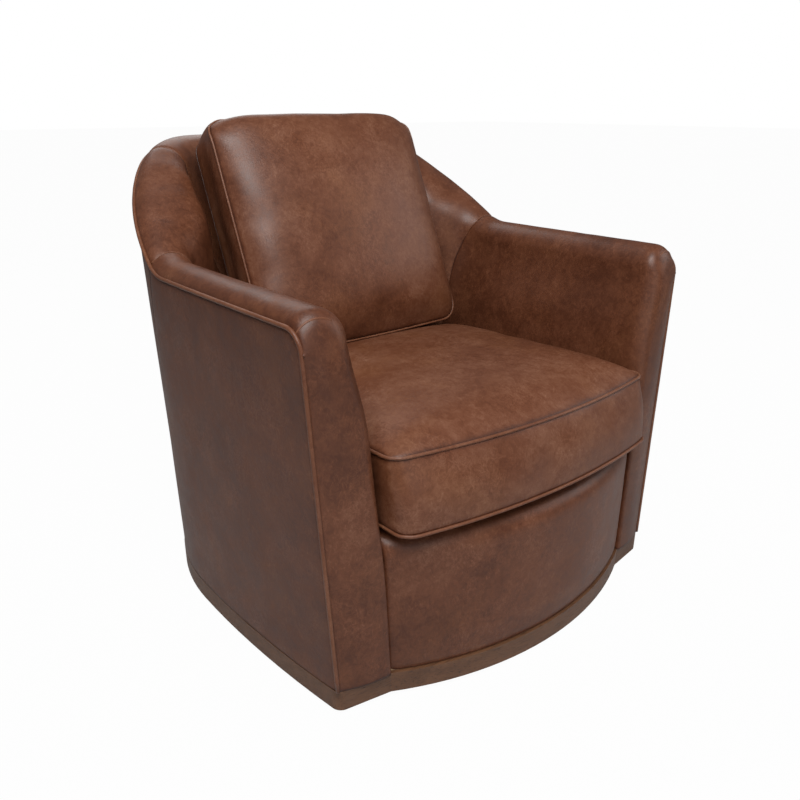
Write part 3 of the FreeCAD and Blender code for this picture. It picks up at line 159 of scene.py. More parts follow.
# %% Materials
class Finish:
    """A material in the making, with the one method that adds its nodes."""

    def __init__(self, name, shift=(0, 0, 0), **constants):
        self.material = bpy.data.materials.new(name)
        self.material.use_nodes = True
        self.tree = self.material.node_tree
        self.shader = self.tree.nodes["Principled BSDF"]
        coordinates = self.node("ShaderNodeTexCoord").outputs["Object"]
        moved = self.node("ShaderNodeMapping", {}, {"Vector": coordinates, "Location": shift})
        self.place = moved.outputs[0]
        for socket, value in constants.items():
            self.shader.inputs[socket.replace("_", " ")].default_value = value

    def node(self, kind, settings=None, values=None):
        made = self.tree.nodes.new(kind)
        for key, value in (settings or {}).items():
            if key == "stops":
                self.set_stops(made.color_ramp, value)
            else:
                setattr(made, key, value)
        for key, value in (values or {}).items():
            self.feed(made.inputs[key], value)
        return made

    def feed(self, socket, value):
        if isinstance(value, Field):
            value = value.socket
        if isinstance(value, bpy.types.NodeSocket):
            self.tree.links.new(value, socket)
        else:
            socket.default_value = value

    def set_stops(self, ramp, stops):
        while len(ramp.elements) < len(stops):
            ramp.elements.new(1.0)
        for element, (place, colour) in zip(ramp.elements, stops):
            element.position = place
            element.color = (*colour, 1)

    def cloud(self, scale, detail, rough=0.5, twist=0.0, stretch=(1, 1, 1)):
        """Soft noise; scale counts its lumps in a metre, and a stretch below 1 draws them out."""
        place = self.node("ShaderNodeMapping", {}, {"Vector": self.place, "Scale": stretch}).outputs[0]
        made = self.node("ShaderNodeTexNoise", {}, {
            "Vector": place, "Scale": scale, "Detail": detail, "Roughness": rough, "Distortion": twist})
        return Field(self, made.outputs["Fac"])

    def cells(self, scale):
        """Rounded cells; scale counts them in a metre."""
        made = self.node("ShaderNodeTexVoronoi", {"feature": "SMOOTH_F1"},
                         {"Vector": self.place, "Scale": scale})
        return Field(self, made.outputs["Distance"])

    def attribute(self, name):
        return Field(self, self.node("ShaderNodeAttribute", {"attribute_name": name}).outputs["Fac"])

    def ramp(self, field, *stops):
        return self.node("ShaderNodeValToRGB", {"stops": stops}, {"Fac": field}).outputs["Color"]

    def mix(self, share, first, second):
        """Two colours mixed; the node's sockets for colours are its inputs 6 and 7 and its output 2."""
        made = self.node("ShaderNodeMix", {"data_type": "RGBA"}, {"Factor": share, 6: first, 7: second})
        return made.outputs[2]

    def bump(self, *layers):
        """Stacked bumps; each layer is a height field, its depth in metres and its strength."""
        normal = None
        for height, depth, strength in layers:
            values = {"Height": height, "Distance": depth, "Strength": strength}
            if normal is not None:
                values["Normal"] = normal
            normal = self.node("ShaderNodeBump", {}, values).outputs["Normal"]
        return normal

    def shade(self, **links):
        for socket, value in links.items():
            self.feed(self.shader.inputs[socket.replace("_", " ")], value)
        return self.material


# %% [markdown]
# ## Leather
# The hide is dyed, then waxed, so its colour pulls up lighter where it is stretched. A painted
# picture could show that, but it needs a map of every piece, and clouds of noise only need the
# place. Three sizes of cloud carry the tone: patches as large as a hand, blotches of a few
# centimetres and a fine mottle. Thin ridges stand for the growth lines of the hide and for fine
# pulls, and short drawn-out wisps for rub marks. Along the sewn edges the tone is painted darker, as painted
# shade for the shadow in the seam grooves.
# The grain itself is too fine to see from a step away, so its bump is very shallow.

# %% Leather
HIDE_DARK = (0.046, 0.014, 0.0070)
HIDE_LOW = (0.080, 0.0245, 0.0105)
HIDE_MID = (0.132, 0.0440, 0.0195)
HIDE_HIGH = (0.192, 0.0800, 0.043)
HIDE_PALE = (0.280, 0.145, 0.092)
WARM_LOW = (0.085, 0.024, 0.010)
WARM_HIGH = (0.235, 0.092, 0.036)
HIDE_TONE = 0.46
# How far the painted shade along the sewn edges darkens the tone.
PAINTED_SEAM_SHADE_DEPTH = 0.55
HIDE_ROUGHNESS = 0.43


def leather(name, shift, level=0.0, spread=1.0, along=(1, 1, 0.5)):
    """Waxed leather; level moves its tone, spread scales its mottling, along draws out its wisps."""
    hide = Finish(name, shift, IOR=1.46, Specular_IOR_Level=0.44)
    patches = hide.cloud(4.5, 2.0, 0.45, 0.3)
    blotches = hide.cloud(19, 4.0, 0.6, 0.6)
    mottle = hide.cloud(85, 5.0, 0.66, 0.8)
    wisps = hide.cloud(120, 4.0, 0.60, 2.2, along).between(0.46, 0.76)
    wisps = wisps * hide.cloud(22, 3.0).between(0.30, 0.66)
    veins = hide.cloud(38, 4.0, 0.62, 1.6).ridges(0.035) * hide.cloud(9, 2.0).between(0.40, 0.68)
    pull = hide.cloud(70, 4.0, 0.62, 1.8).ridges(0.08) * hide.cloud(12, 2.0, 0.5, 0.5).between(0.40, 0.70)
    tone = (patches - 0.5) * (0.35 * spread) + (blotches - 0.5) * (0.38 * spread)
    tone = tone + (mottle - 0.5) * (0.42 * spread)
    tone = tone + pull * 0.10 + veins * 0.09 + wisps * 0.17 + (HIDE_TONE + level)
    # Painted shade: the tone is darkened along the sewn edges, for the shadow in the seam grooves.
    tone = tone - hide.attribute("hollow") ** 3 * PAINTED_SEAM_SHADE_DEPTH
    colour = hide.ramp(tone, (0.08, HIDE_DARK), (0.32, HIDE_LOW), (0.5, HIDE_MID),
                       (0.7, HIDE_HIGH), (0.95, HIDE_PALE))
    warmth = hide.cloud(6.5, 3.0, 0.55, 0.8).between(0.46, 0.72) * 0.45
    colour = hide.mix(warmth, colour, hide.ramp(tone, (0.2, WARM_LOW), (0.8, WARM_HIGH)))
    grain = hide.cells(640)
    pores = hide.cloud(900, 2.0, 0.6)
    creases = hide.cloud(52, 3.0, 0.55, 1.4).ridges(0.06) * hide.cloud(14, 2.0).between(0.48, 0.62)
    swell = hide.cloud(30, 2.0, 0.5)
    roughness = (blotches - 0.5) * 0.22 + (mottle - 0.5) * 0.16 + pull * -0.05 + HIDE_ROUGHNESS
    normal = hide.bump((swell, 0.0012, 0.30), (creases, 0.00022, 0.3), (grain, 0.00016, 0.45),
                       (pores, 0.00008, 0.4))
    return hide.shade(Base_Color=colour, Roughness=roughness, Normal=normal)


HIDES = {
    "arm_outside": leather("leather_outside", (0.7, 1.9, 0.4), -0.10, 0.75),
    "back_outside": leather("leather_outside_back", (4.1, 0.3, 2.2), -0.08, 0.75),
    "arm_inside": leather("leather_inside_arm", (2.3, 5.1, 1.6), -0.06),
    "wing": leather("leather_wing", (6.2, 0.9, 3.3), -0.05),
    "back_inside": leather("leather_inside_back", (1.4, 3.6, 5.2), 0.0),
    "border": leather("leather_front_border", (3.9, 2.7, 0.8), -0.02),
    "seat": leather("leather_seat_cushion", (5.3, 4.4, 2.9), 0.05, 1.0, (0.9, 0.5, 0.7)),
    "pillow": leather("leather_back_cushion", (0.2, 6.6, 4.7), 0.02),
    # The welt leather is lighter than the cuts: partly the cords' own tone, partly a painted highlight along
    # the cords and the folded seam edges.
    "welt": leather("leather_welt_and_painted_highlight", (8.1, 1.2, 6.4), 0.09, 0.7),
    # A very dark cut, used only for thin cords that are painted shadow lines in seams and gaps.
    "shade_line": leather("leather_painted_shade_line", (2.2, 7.3, 1.4), -0.45, 0.5),
}
print(len(HIDES), "cuts of hide")

# %% [markdown]
# ## Wood, metal and cloth of the hidden pieces
# The plinth is stained walnut with a quiet straight grain. The frame, the boards, the springs and
# the swivel only show when a cushion is lifted or the chair is turned over, but each has the finish
# that a workshop would give it.


# %% Wood
def wood(name, dark, light, ring_scale, roughness):
    """Straight-grained wood: long stretched clouds along X."""
    timber = Finish(name)
    figure = timber.cloud(ring_scale, 6.0, 0.6, 0.8, (0.6, 6, 6))
    streaks = timber.cloud(ring_scale * 6, 4.0, 0.65, 0.2, (0.4, 9, 9))
    pores = timber.cloud(420, 2.0, 0.5, 0.0, (0.12, 1, 1)).between(0.56, 0.7)
    tone = figure * 0.6 + streaks * 0.5 - pores * 0.22
    colour = timber.ramp(tone, (0.25, dark), (0.8, light))
    normal = timber.bump((streaks, 0.0003, 0.4), (pores, -0.00025, 0.5))
    return timber.shade(Base_Color=colour, Roughness=streaks * 0.18 + roughness, Normal=normal)


# %% Metal, plastic, boards and cloth
def metal(name, colour, roughness):
    """Brushed metal with faint darker spots."""
    steel = Finish(name, Metallic=1.0)
    brushed = steel.cloud(180, 4.0, 0.6, 0.0, (1, 0.08, 1))
    spots = steel.cloud(35, 3.0, 0.6)
    dark = tuple(value * 0.72 for value in colour)
    return steel.shade(Base_Color=steel.ramp(spots * 0.6 + brushed * 0.4, (0.3, dark), (0.7, colour)),
                       Roughness=brushed * 0.16 + roughness, Normal=steel.bump((brushed, 0.00005, 0.3)))


CLOTH_ROUGHNESS = 0.85


def woven(name, colour, pitch):
    """Plain weave, from two crossing sets of ridges on the piece's own axes."""
    cloth = Finish(name, Specular_IOR_Level=0.25)
    split = cloth.node("ShaderNodeSeparateXYZ", {}, {"Vector": cloth.place})
    ways = [Field(cloth, split.outputs[index]) * (math.pi / pitch) for index in range(3)]
    warp = ways[0].math("SINE").math("ABSOLUTE")
    weft = (ways[1] + ways[2]).math("SINE").math("ABSOLUTE")
    threads = warp * weft
    tone = threads * 0.6 + cloth.cloud(60, 3.0) * 0.4
    dark = tuple(value * 0.55 for value in colour)
    return cloth.shade(Base_Color=cloth.ramp(tone, (0.15, dark), (0.75, colour)),
                       Roughness=tone * 0.1 + CLOTH_ROUGHNESS, Normal=cloth.bump((threads, 0.0003, 0.6)))


def pressed(name, dark, light, scale, roughness):
    """Board, felt, foam or plastic: speckled, with a matching bump."""
    solid = Finish(name)
    speckle = solid.cloud(scale, 5.0, 0.7)
    broad = solid.cloud(scale / 12, 2.0)
    tone = speckle * 0.7 + broad * 0.3
    return solid.shade(Base_Color=solid.ramp(tone, (0.3, dark), (0.7, light)),
                       Roughness=speckle * 0.12 + roughness, Normal=solid.bump((speckle, 0.0002, 0.5)))


# %% Finishes of the solids
FINISHES = {
    "walnut": wood("walnut_plinth", (0.056, 0.023, 0.010), (0.175, 0.078, 0.036), 9, 0.40),
    "frame_wood": wood("frame_beech", (0.42, 0.27, 0.15), (0.62, 0.45, 0.28), 7, 0.55),
    "fibreboard": pressed("hardboard", (0.16, 0.09, 0.05), (0.26, 0.16, 0.09), 240, 0.7),
    "padding": pressed("foam", (0.62, 0.55, 0.42), (0.78, 0.72, 0.58), 320, 0.9),
    "webbing": woven("webbing", (0.36, 0.27, 0.17), 0.0024),
    "bearing_steel": metal("bearing_steel", (0.56, 0.57, 0.58), 0.28),
    "glide_plastic": pressed("glide_plastic", (0.03, 0.03, 0.032), (0.05, 0.05, 0.052), 200, 0.45),
    "zip_brass": metal("zip_brass", (0.62, 0.44, 0.2), 0.3),
    "leather": HIDES["border"],
    "welt_leather": HIDES["welt"],
}
PLATFORM = woven("platform_cloth", (0.055, 0.038, 0.030), 0.0012)
for part in frame["record"]["subparts"]:
    solid = frame["nodes"][part["node"]].data
    solid.materials.clear()
    solid.materials.append(FINISHES[part["material_slot"]])

# %% [markdown]
# ## The wall of the tub
# The tub's plan is half a circle at the back, with two long arcs running forwards to the arm fronts.
# Its outer face leans a little outwards, its edge rises in one sweep from the arms to the back, and
# its top is rolled over padding. The wall is measured at stations, which are upright planes across
# it. At each one, u is the depth inwards from the outer leather and z the height. The stations are
# worked out once, and any place between them is read from their neighbours.

# %% Sizes of the wall, in metres
BASE_LEVEL = 0.043
HALF_WIDTH = 0.398
FRONT_HALF_WIDTH = 0.363
FRONT_SPLAY = 0.0527
FRONT_REACH = 0.383
FRONT_LEAN = 0.0281
FRONT_LEAN_PART = 0.3
FRONT_TURN = math.radians(9)
FRONT_TURN_FADE = 1.6
FRONT_ROUND = 0.030
BACK_REACH = 0.3935
BACK_LEAN = 0.0938
ARM_WELT_FRONT = 0.594
ARM_WELT_REAR = 0.588
SWEEP_START = 0.065
SWEEP_SLOPE = math.tan(math.radians(31.6))
SWEEP_LOW_RADIUS = 0.100
SWEEP_HIGH_RADIUS = 0.200
BACK_WELT = 0.767
SEAM_REACH = 0.105
ROLL_RISE = 0.020
ROLL_RUN = 0.0335
ROLL_WIDTH = 0.0715
BASE_HALF_GAP = 0.277
SEAT_HALF_GAP = 0.288
MID_HALF_GAP = 0.296
ARM_MID_HEIGHT = 0.450
BACK_MID_HEIGHT = 0.600
LOW_BACK_REACH = 0.150
LOW_CORNER = 0.110
MID_BACK_REACH = 0.276
MID_CORNER = 0.170
SEAT_PLANE_HEIGHT = 0.254
SEAT_PLANE_FRONT = 0.420
SEAT_SLOPE = math.radians(3)
DECK_LOW = 0.0044
STATION_PITCH = 0.006


# %% Seat slope, outer face and edge line
def seat_plane(y):
    """Height of the sloping seat frame at a depth."""
    return SEAT_PLANE_HEIGHT - math.tan(SEAT_SLOPE) * (y + SEAT_PLANE_FRONT)


def back_centre(z):
    """Depth of the middle of the half circle, which leans back with height."""
    return BACK_REACH - HALF_WIDTH + BACK_LEAN * (z - BASE_LEVEL)


def half_width_at(y, z):
    """Half the tub's outer width: the half circle behind, one long arc on the arm."""
    centre = back_centre(z)
    if y >= centre:
        return math.sqrt(max(HALF_WIDTH ** 2 - (y - centre) ** 2, 1e-6))
    corner_x = FRONT_HALF_WIDTH + FRONT_SPLAY * (z - BASE_LEVEL)
    corner_y = -FRONT_REACH + FRONT_LEAN * (z - BASE_LEVEL)
    swell = HALF_WIDTH - corner_x
    radius = ((centre - corner_y) ** 2 + swell ** 2) / (2 * swell)
    return HALF_WIDTH - radius + math.copysign(math.sqrt(radius ** 2 - (y - centre) ** 2), radius)


def rounded_corner(y, corner, slope_before, slope_after, radius):
    """Height of two straight lines that meet at a corner, with an arc between them."""
    before = math.atan(slope_before)
    after = math.atan(slope_after)
    reach = radius * math.tan(abs(after - before) / 2)
    corner_y, corner_z = corner
    start_y = corner_y - reach * math.cos(before)
    if y <= start_y:
        return corner_z + slope_before * (y - corner_y)
    if y >= corner_y + reach * math.cos(after):
        return corner_z + slope_after * (y - corner_y)
    turn = 1 if after > before else -1
    centre_y = start_y - turn * radius * math.sin(before)
    centre_z = corner_z - reach * math.sin(before) + turn * radius * math.cos(before)
    return centre_z - turn * math.sqrt(radius ** 2 - (y - centre_y) ** 2)


SWEEP_END = SWEEP_START + (BACK_WELT - ARM_WELT_REAR) / SWEEP_SLOPE
ARM_SLOPE = (ARM_WELT_REAR - ARM_WELT_FRONT) / (SWEEP_START + FRONT_REACH)


def welt_height(y):
    """Height of the edge welt: along the arm, up the sweep, level round the back."""
    if y < (SWEEP_START + SWEEP_END) / 2:
        return rounded_corner(y, (SWEEP_START, ARM_WELT_REAR), ARM_SLOPE, SWEEP_SLOPE, SWEEP_LOW_RADIUS)
    return rounded_corner(y, (SWEEP_END, BACK_WELT), SWEEP_SLOPE, 0.0, SWEEP_HIGH_RADIUS)


# %% Depth of the inside face
SEARCH_STEP = 0.004
SEARCH_END = 0.5
SEARCH_HALVINGS = 16


def inside_depth(start, inward, half_gap, back_reach, corner):
    """Distance along a line to the inside outline: straight sides, round corners, straight back."""
    def inside(u):
        x = abs(start[0] + u * inward[0])
        y = start[1] + u * inward[1]
        if y <= back_reach - corner or x <= half_gap - corner:
            return x <= half_gap and y <= back_reach
        return math.hypot(x - half_gap + corner, y - back_reach + corner) <= corner
    far = 0.0
    while not inside(far) and far < SEARCH_END:
        far += SEARCH_STEP
    near = far - SEARCH_STEP
    for _ in range(SEARCH_HALVINGS):
        middle = (near + far) / 2
        if inside(middle):
            far = middle
        else:
            near = middle
    return far


# %% One station
SEAM_ANGLE = math.asin((SEAM_REACH - back_centre(BASE_LEVEL)) / HALF_WIDTH)
WALL_START = -FRONT_REACH
WALL_MIDDLE = SEAM_REACH + HALF_WIDTH * (math.pi / 2 - SEAM_ANGLE)
TOP_ROUNDS = 8


def make_station(s):
    """Measures of the wall at path place s: its depth Y on the arm, then the length round the back."""
    if s <= SEAM_REACH:
        share = max(0.0, (s + FRONT_REACH - FRONT_ROUND) / (SEAM_REACH + FRONT_REACH - FRONT_ROUND))
        turn = FRONT_TURN * max(0.0, 1 - share * FRONT_TURN_FADE)
        lean_share = max(0.0, 1 - share / FRONT_LEAN_PART)
        blend = 0.0
    else:
        share = (s - SEAM_REACH) / (WALL_MIDDLE - SEAM_REACH)
        turn = share * math.pi / 2
        blend = math.sin(share * math.pi / 2) ** 2
    inward = (math.cos(turn), -math.sin(turn))

    def outer(z):
        if s <= SEAM_REACH:
            y = s + FRONT_LEAN * (z - BASE_LEVEL) * lean_share
            return (-half_width_at(y, z), y)
        angle = SEAM_ANGLE + share * (math.pi / 2 - SEAM_ANGLE)
        start = (-HALF_WIDTH * math.cos(angle), back_centre(BASE_LEVEL) + HALF_WIDTH * math.sin(angle))
        away = (start[0], start[1] - back_centre(z))
        along = away[0] * inward[0] + away[1] * inward[1]
        rest = away[0] ** 2 + away[1] ** 2 - HALF_WIDTH ** 2
        shift = -along - math.sqrt(along ** 2 - rest)
        return (start[0] + shift * inward[0], start[1] + shift * inward[1])

    low = outer(BASE_LEVEL)
    top = ARM_WELT_REAR
    for _ in range(TOP_ROUNDS):
        high = outer(top)
        top = welt_height(high[1])

    def line_at(z):
        part = (z - BASE_LEVEL) / (top - BASE_LEVEL)
        return (low[0] + part * (high[0] - low[0]), low[1] + part * (high[1] - low[1]))

    def depth_at(z, *outline):
        return inside_depth(line_at(z), inward, *outline)

    seat_u = depth_at(SEAT_PLANE_HEIGHT, SEAT_HALF_GAP, LOW_BACK_REACH, LOW_CORNER)
    seat_y = line_at(SEAT_PLANE_HEIGHT)[1] + seat_u * inward[1]
    low_z = seat_plane(seat_y) + DECK_LOW
    middle_z = ARM_MID_HEIGHT + blend * (BACK_MID_HEIGHT - ARM_MID_HEIGHT)
    return [
        *low, *high, *inward, top, low_z, middle_z,
        depth_at(low_z, SEAT_HALF_GAP, LOW_BACK_REACH, LOW_CORNER),
        depth_at(middle_z, MID_HALF_GAP, MID_BACK_REACH, MID_CORNER),
        depth_at(BASE_LEVEL, BASE_HALF_GAP, LOW_BACK_REACH, LOW_CORNER),
    ]


# %% All stations
station_count = round((WALL_MIDDLE - WALL_START) / STATION_PITCH)
station_step = (WALL_MIDDLE - WALL_START) / station_count
STATIONS = [make_station(WALL_START + index * station_step) for index in range(station_count + 1)]
print(len(STATIONS), "stations on the left half of the wall")


# %% Any place on the wall
OVER = 0.22
SHOULDER = 0.46
FOOT_ROUND = 0.12
RUN_LOSS, RISE_LOSS = 0.43, 0.5
WING_FILLING = 0.049
WING_FROM, WING_FULL = 0.080, 0.195
WING_FADES, WING_TO = 0.22, 0.37
WING_CREST = 0.45


def ramp_up(value, low, high):
    """0 below low, 1 above high, smooth between."""
    t = min(max((value - low) / (high - low), 0.0), 1.0)
    return t * t * (3 - 2 * t)


class Wall:
    """The wall's section at path place s."""

    def __init__(self, s):
        place = min(max((s - WALL_START) / station_step, 0), station_count - 1e-6)
        index = int(place)
        share = place - index
        near, far = STATIONS[index], STATIONS[index + 1]
        mixed = [a + share * (b - a) for a, b in zip(near, far)]
        self.low = Vector(mixed[0:2])
        self.high = Vector(mixed[2:4])
        self.inward = Vector(mixed[4:6])
        self.top, self.low_z, self.middle_z, self.low_u, self.middle_u, self.base_u = mixed[6:12]
        front = max(0.0, FRONT_ROUND - (s - WALL_START))
        self.inset = FRONT_ROUND - math.sqrt(max(FRONT_ROUND ** 2 - front ** 2, 0.0))
        fade = self.inset / FRONT_ROUND
        self.run = ROLL_RUN * (1 - fade * RUN_LOSS)
        self.rise = ROLL_RISE * (1 - fade * RISE_LOSS)
        self.outer_radius = (self.run ** 2 + self.rise ** 2) / (2 * self.rise)
        self.welt = self.top - self.inset
        self.outer_centre = self.welt + self.rise - self.outer_radius
        self.inner_radius = ROLL_WIDTH - self.inset - self.run
        self.inner_centre = self.welt + self.rise - self.inner_radius
        in_wing = ramp_up(s, WING_FROM, WING_FULL) * (1 - ramp_up(s, WING_FADES, WING_TO))
        self.filling = WING_FILLING * in_wing

    def point(self, u, z, side=-1):
        """The place at depth u and height z, on the left for side -1 and on the right for 1."""
        share = (z - BASE_LEVEL) / (self.top - BASE_LEVEL)
        place = self.low.lerp(self.high, share) + self.inward * u
        return Vector((-side * place.x, place.y, z))

    def face_depth(self, z):
        """Depth of the inside face at a height, smooth through its four measured levels."""
        shoulder_u = ROLL_WIDTH - self.inset
        square = self.inset * FOOT_ROUND
        levels = [(self.inner_centre, shoulder_u), (self.middle_z, self.middle_u - self.inset),
                  (self.low_z, self.low_u - square), (BASE_LEVEL, self.base_u - square)]
        slopes = [0.0]
        for index in (1, 2):
            before, after = levels[index - 1], levels[index + 1]
            slopes.append((after[1] - before[1]) / (after[0] - before[0]))
        slopes.append((levels[3][1] - levels[2][1]) / (levels[3][0] - levels[2][0]))
        index = 0 if z > levels[1][0] else 1 if z > levels[2][0] else 2
        (z0, u0), (z1, u1) = levels[index], levels[index + 1]
        span = z1 - z0
        t = min(max((z - z0) / span, 0.0), 1.0)
        return ((2 * t ** 3 - 3 * t ** 2 + 1) * u0 + (t ** 3 - 2 * t ** 2 + t) * span * slopes[index]
                + (3 * t ** 2 - 2 * t ** 3) * u1 + (t ** 3 - t ** 2) * span * slopes[index + 1])

    def section(self, a, foot):
        """(u, z) over the roll and down the inside face; a runs from 0 at the welt to 1 at the foot."""
        if a <= OVER:
            first = math.atan2(self.welt - self.outer_centre, -self.run)
            angle = first + (math.pi / 2 - first) * a / OVER
            return (self.run + self.outer_radius * math.cos(angle),
                    self.outer_centre + self.outer_radius * math.sin(angle))
        if a <= SHOULDER:
            angle = math.pi / 2 * (1 - (a - OVER) / (SHOULDER - OVER))
            z = self.inner_centre + self.inner_radius * math.sin(angle)
            return (self.run + self.inner_radius * math.cos(angle) + self.filled(z), z)
        z = self.inner_centre + (foot - self.inner_centre) * (a - SHOULDER) / (1 - SHOULDER)
        return (self.face_depth(z) + self.filled(z), z)

    def filled(self, z):
        """How far the wing's own filling swells the inside face, fullest in its upper half."""
        crest = self.welt + self.rise
        drop = min(max((crest - z) / (crest - self.low_z), 0.0), 1.0)
        return self.filling * math.sin(math.pi * drop ** WING_CREST)


print("the arm's roll runs", round(Wall(0.0).run, 4), "m in from the welt to its crest")

# %% [markdown]
# ## Leather over the wall
# Each cut of leather is a grid laid over the wall, so its rows run from the welt over the roll and
# down the inside, and its columns run along the wall. A subdivision surface rounds it, and a solidify
# gives it the thickness of hide. Its edges are tucked in towards the seam, which draws the soft
# shoulders of a sewn seam and part of its dark line; the rest of that line is painted shade,
# marked on the sewn edges for the leather to darken.


# %% Sheets of leather
LEATHER = 0.002
ROUNDING = 2


def noise_at(point, scale, seed):
    return noise.noise(Vector((point.x * scale + seed, point.y * scale - seed, point.z * scale)))


def finish_object(mesh, name, material, body):
    """Make the mesh a smooth-shaded piece that rides on a body."""
    data = bpy.data.meshes.new(name)
    mesh.to_mesh(data)
    mesh.free()
    for polygon in data.polygons:
        polygon.use_smooth = True
    data.materials.append(material)
    piece = bpy.data.objects.new(name, data)
    scene.collection.objects.link(piece)
    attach(piece, body)
    return piece


def soften(piece, thickness=LEATHER):
    """Round a sheet and give it the thickness of hide, on its hidden side."""
    rounding = piece.modifiers.new("rounding", "SUBSURF")
    rounding.levels = ROUNDING
    rounding.render_levels = ROUNDING
    rounding.boundary_smooth = "PRESERVE_CORNERS"
    if thickness:
        hide = piece.modifiers.new("hide", "SOLIDIFY")
        hide.thickness = thickness
        hide.offset = -1


def mark_painted_seam_shade(mesh, is_sewn):
    """Write 1 on the sewn edges into an attribute that the leather reads as painted shade along the seams.
    """
    hollow = mesh.verts.layers.float.new("hollow")
    for vertex in mesh.verts:
        vertex[hollow] = 1.0 if is_sewn(vertex) else 0.0


# %% A sheet over a surface
def sheet_over(name, rows, columns, place, side, material, drop=None, flip=False):
    """A grid laid over a surface by place(a, b), mirrored to the right side, with its faces outwards."""
    mesh = bmesh.new()
    bmesh.ops.create_grid(mesh, x_segments=rows, y_segments=columns, size=0.5)
    for vertex in mesh.verts:
        vertex.co = place(vertex.co.x + 0.5, vertex.co.y + 0.5)
    if side > 0:
        bmesh.ops.transform(mesh, matrix=Matrix.Scale(-1, 4, (1, 0, 0)), verts=mesh.verts)
    if (side < 0) != flip:
        bmesh.ops.reverse_faces(mesh, faces=mesh.faces)
    # The sheet's sewn edges get painted shade.
    mark_painted_seam_shade(mesh, lambda vertex: vertex.is_boundary)
    if drop:
        gone = [face for face in mesh.faces if drop(face.calc_center_median())]
        bmesh.ops.delete(mesh, geom=gone, context="FACES")
    piece = finish_object(mesh, name, material, "chair")
    soften(piece)
    return piece


# %% Tucked edges
TUCK = 0.0030
TUCK_REACH = 0.0045
SEAM_SHARE = 0.008


def edge_tuck(distance, reach=TUCK_REACH):
    """How far a sheet dips at a distance from its sewn edge."""
    return TUCK * max(0.0, 1 - distance / reach) ** 2


def spaced(b, count):
    """Grid share with its first and last columns squeezed to the seams."""
    step = 1 / count
    if b < step:
        return SEAM_SHARE * b / step
    if b > 1 - step:
        return 1 - SEAM_SHARE * (1 - b) / step
    return SEAM_SHARE + (b - step) * (1 - 2 * SEAM_SHARE) / (1 - 2 * step)


# %% Seam lines of the wall
INSIDE_SEAM = [(0.70, 0.080), (0.610, 0.085), (0.571, 0.103), (0.517, 0.119), (0.460, 0.123),
               (0.382, 0.128), (0.240, 0.132)]
OUTSIDE_SEAM = [(0.66, 0.080), (0.600, 0.090), (0.540, 0.106), (0.450, 0.118), (0.350, 0.124),
                (0.0, 0.124)]
WING_SEAM = 0.345
WING_SEAM_LEAN = 0.020
WING_SEAM_TURN = (0.34, 0.60)
SEAM_ROUNDS = 5


def read_table(table, z):
    """Straight-line reading of (height, value) pairs, from the top down."""
    for (z0, v0), (z1, v1) in zip(table, table[1:]):
        if z >= z1:
            return v0 + (v1 - v0) * min(max((z0 - z) / (z0 - z1), 0.0), 1.0)
    return table[-1][1]


def wall_point(s, a, foot=None, side=-1):
    """The place at path place s and share a of the section."""
    wall = Wall(s)
    return wall.point(*wall.section(a, wall.low_z if foot is None else foot), side)


def arm_seam_place(a, foot=None):
    """Path place of the seam between arm and wing, where the section at a crosses it."""
    s = SEAM_REACH
    for _ in range(SEAM_ROUNDS):
        s = read_table(INSIDE_SEAM, wall_point(s, a, foot).z)
    return s


def wing_seam_place(a):
    """Path place of the seam between wing and inside back; it runs back a little below the roll."""
    return WING_SEAM + WING_SEAM_LEAN * ramp_up(a, *WING_SEAM_TURN)


def pressed_in(s, here, amount, side=-1):
    """A place on the roll or inside face, moved into the padding behind it."""
    wall = Wall(s)
    core = wall.point(wall.run, min(here.z, wall.outer_centre), side)
    return here + (core - here).normalized() * amount


# %% [markdown]
# ## Inside arms
# One cut of leather starts at the welt beside the arm front, goes round the padded front edge and
# lines the arm down to the plinth. Two cuts with a seam could do this too, but the real edge turns
# smoothly, so one grid covers all of it: its first columns lie on the flat of the arm front, the
# next ones turn the corner, and the rest run back to the wing. Under the seat there is no leather.

# %% Inside arms, wrapped round the arm fronts
ARM_ROWS, ARM_COLUMNS = 34, 40
FACE_PART, ROUND_PART = 0.14, 0.30
FRONT_PUFF = 0.0045
PUFF_OVER, PUFF_FADE = 0.02, 0.05
FRONT_DEPTH = 0.05
EDGE_PART = 0.08
WELT_RUN = 0.16
POST_BACK = -0.300
ARM_RIPPLE, ARM_FINE_RIPPLE = 0.0012, 0.0006
PANEL_FOOT = BASE_LEVEL + 0.0006
FORWARD = Vector((-math.sin(FRONT_TURN), -math.cos(FRONT_TURN), 0))


def front_fullness(z):
    """How full the arm front's padding is at a height: 1 below the roll, falling to 0 over it."""
    return min(max((Wall(WALL_START).welt - z + PUFF_OVER) / PUFF_FADE, 0.0), 1.0)


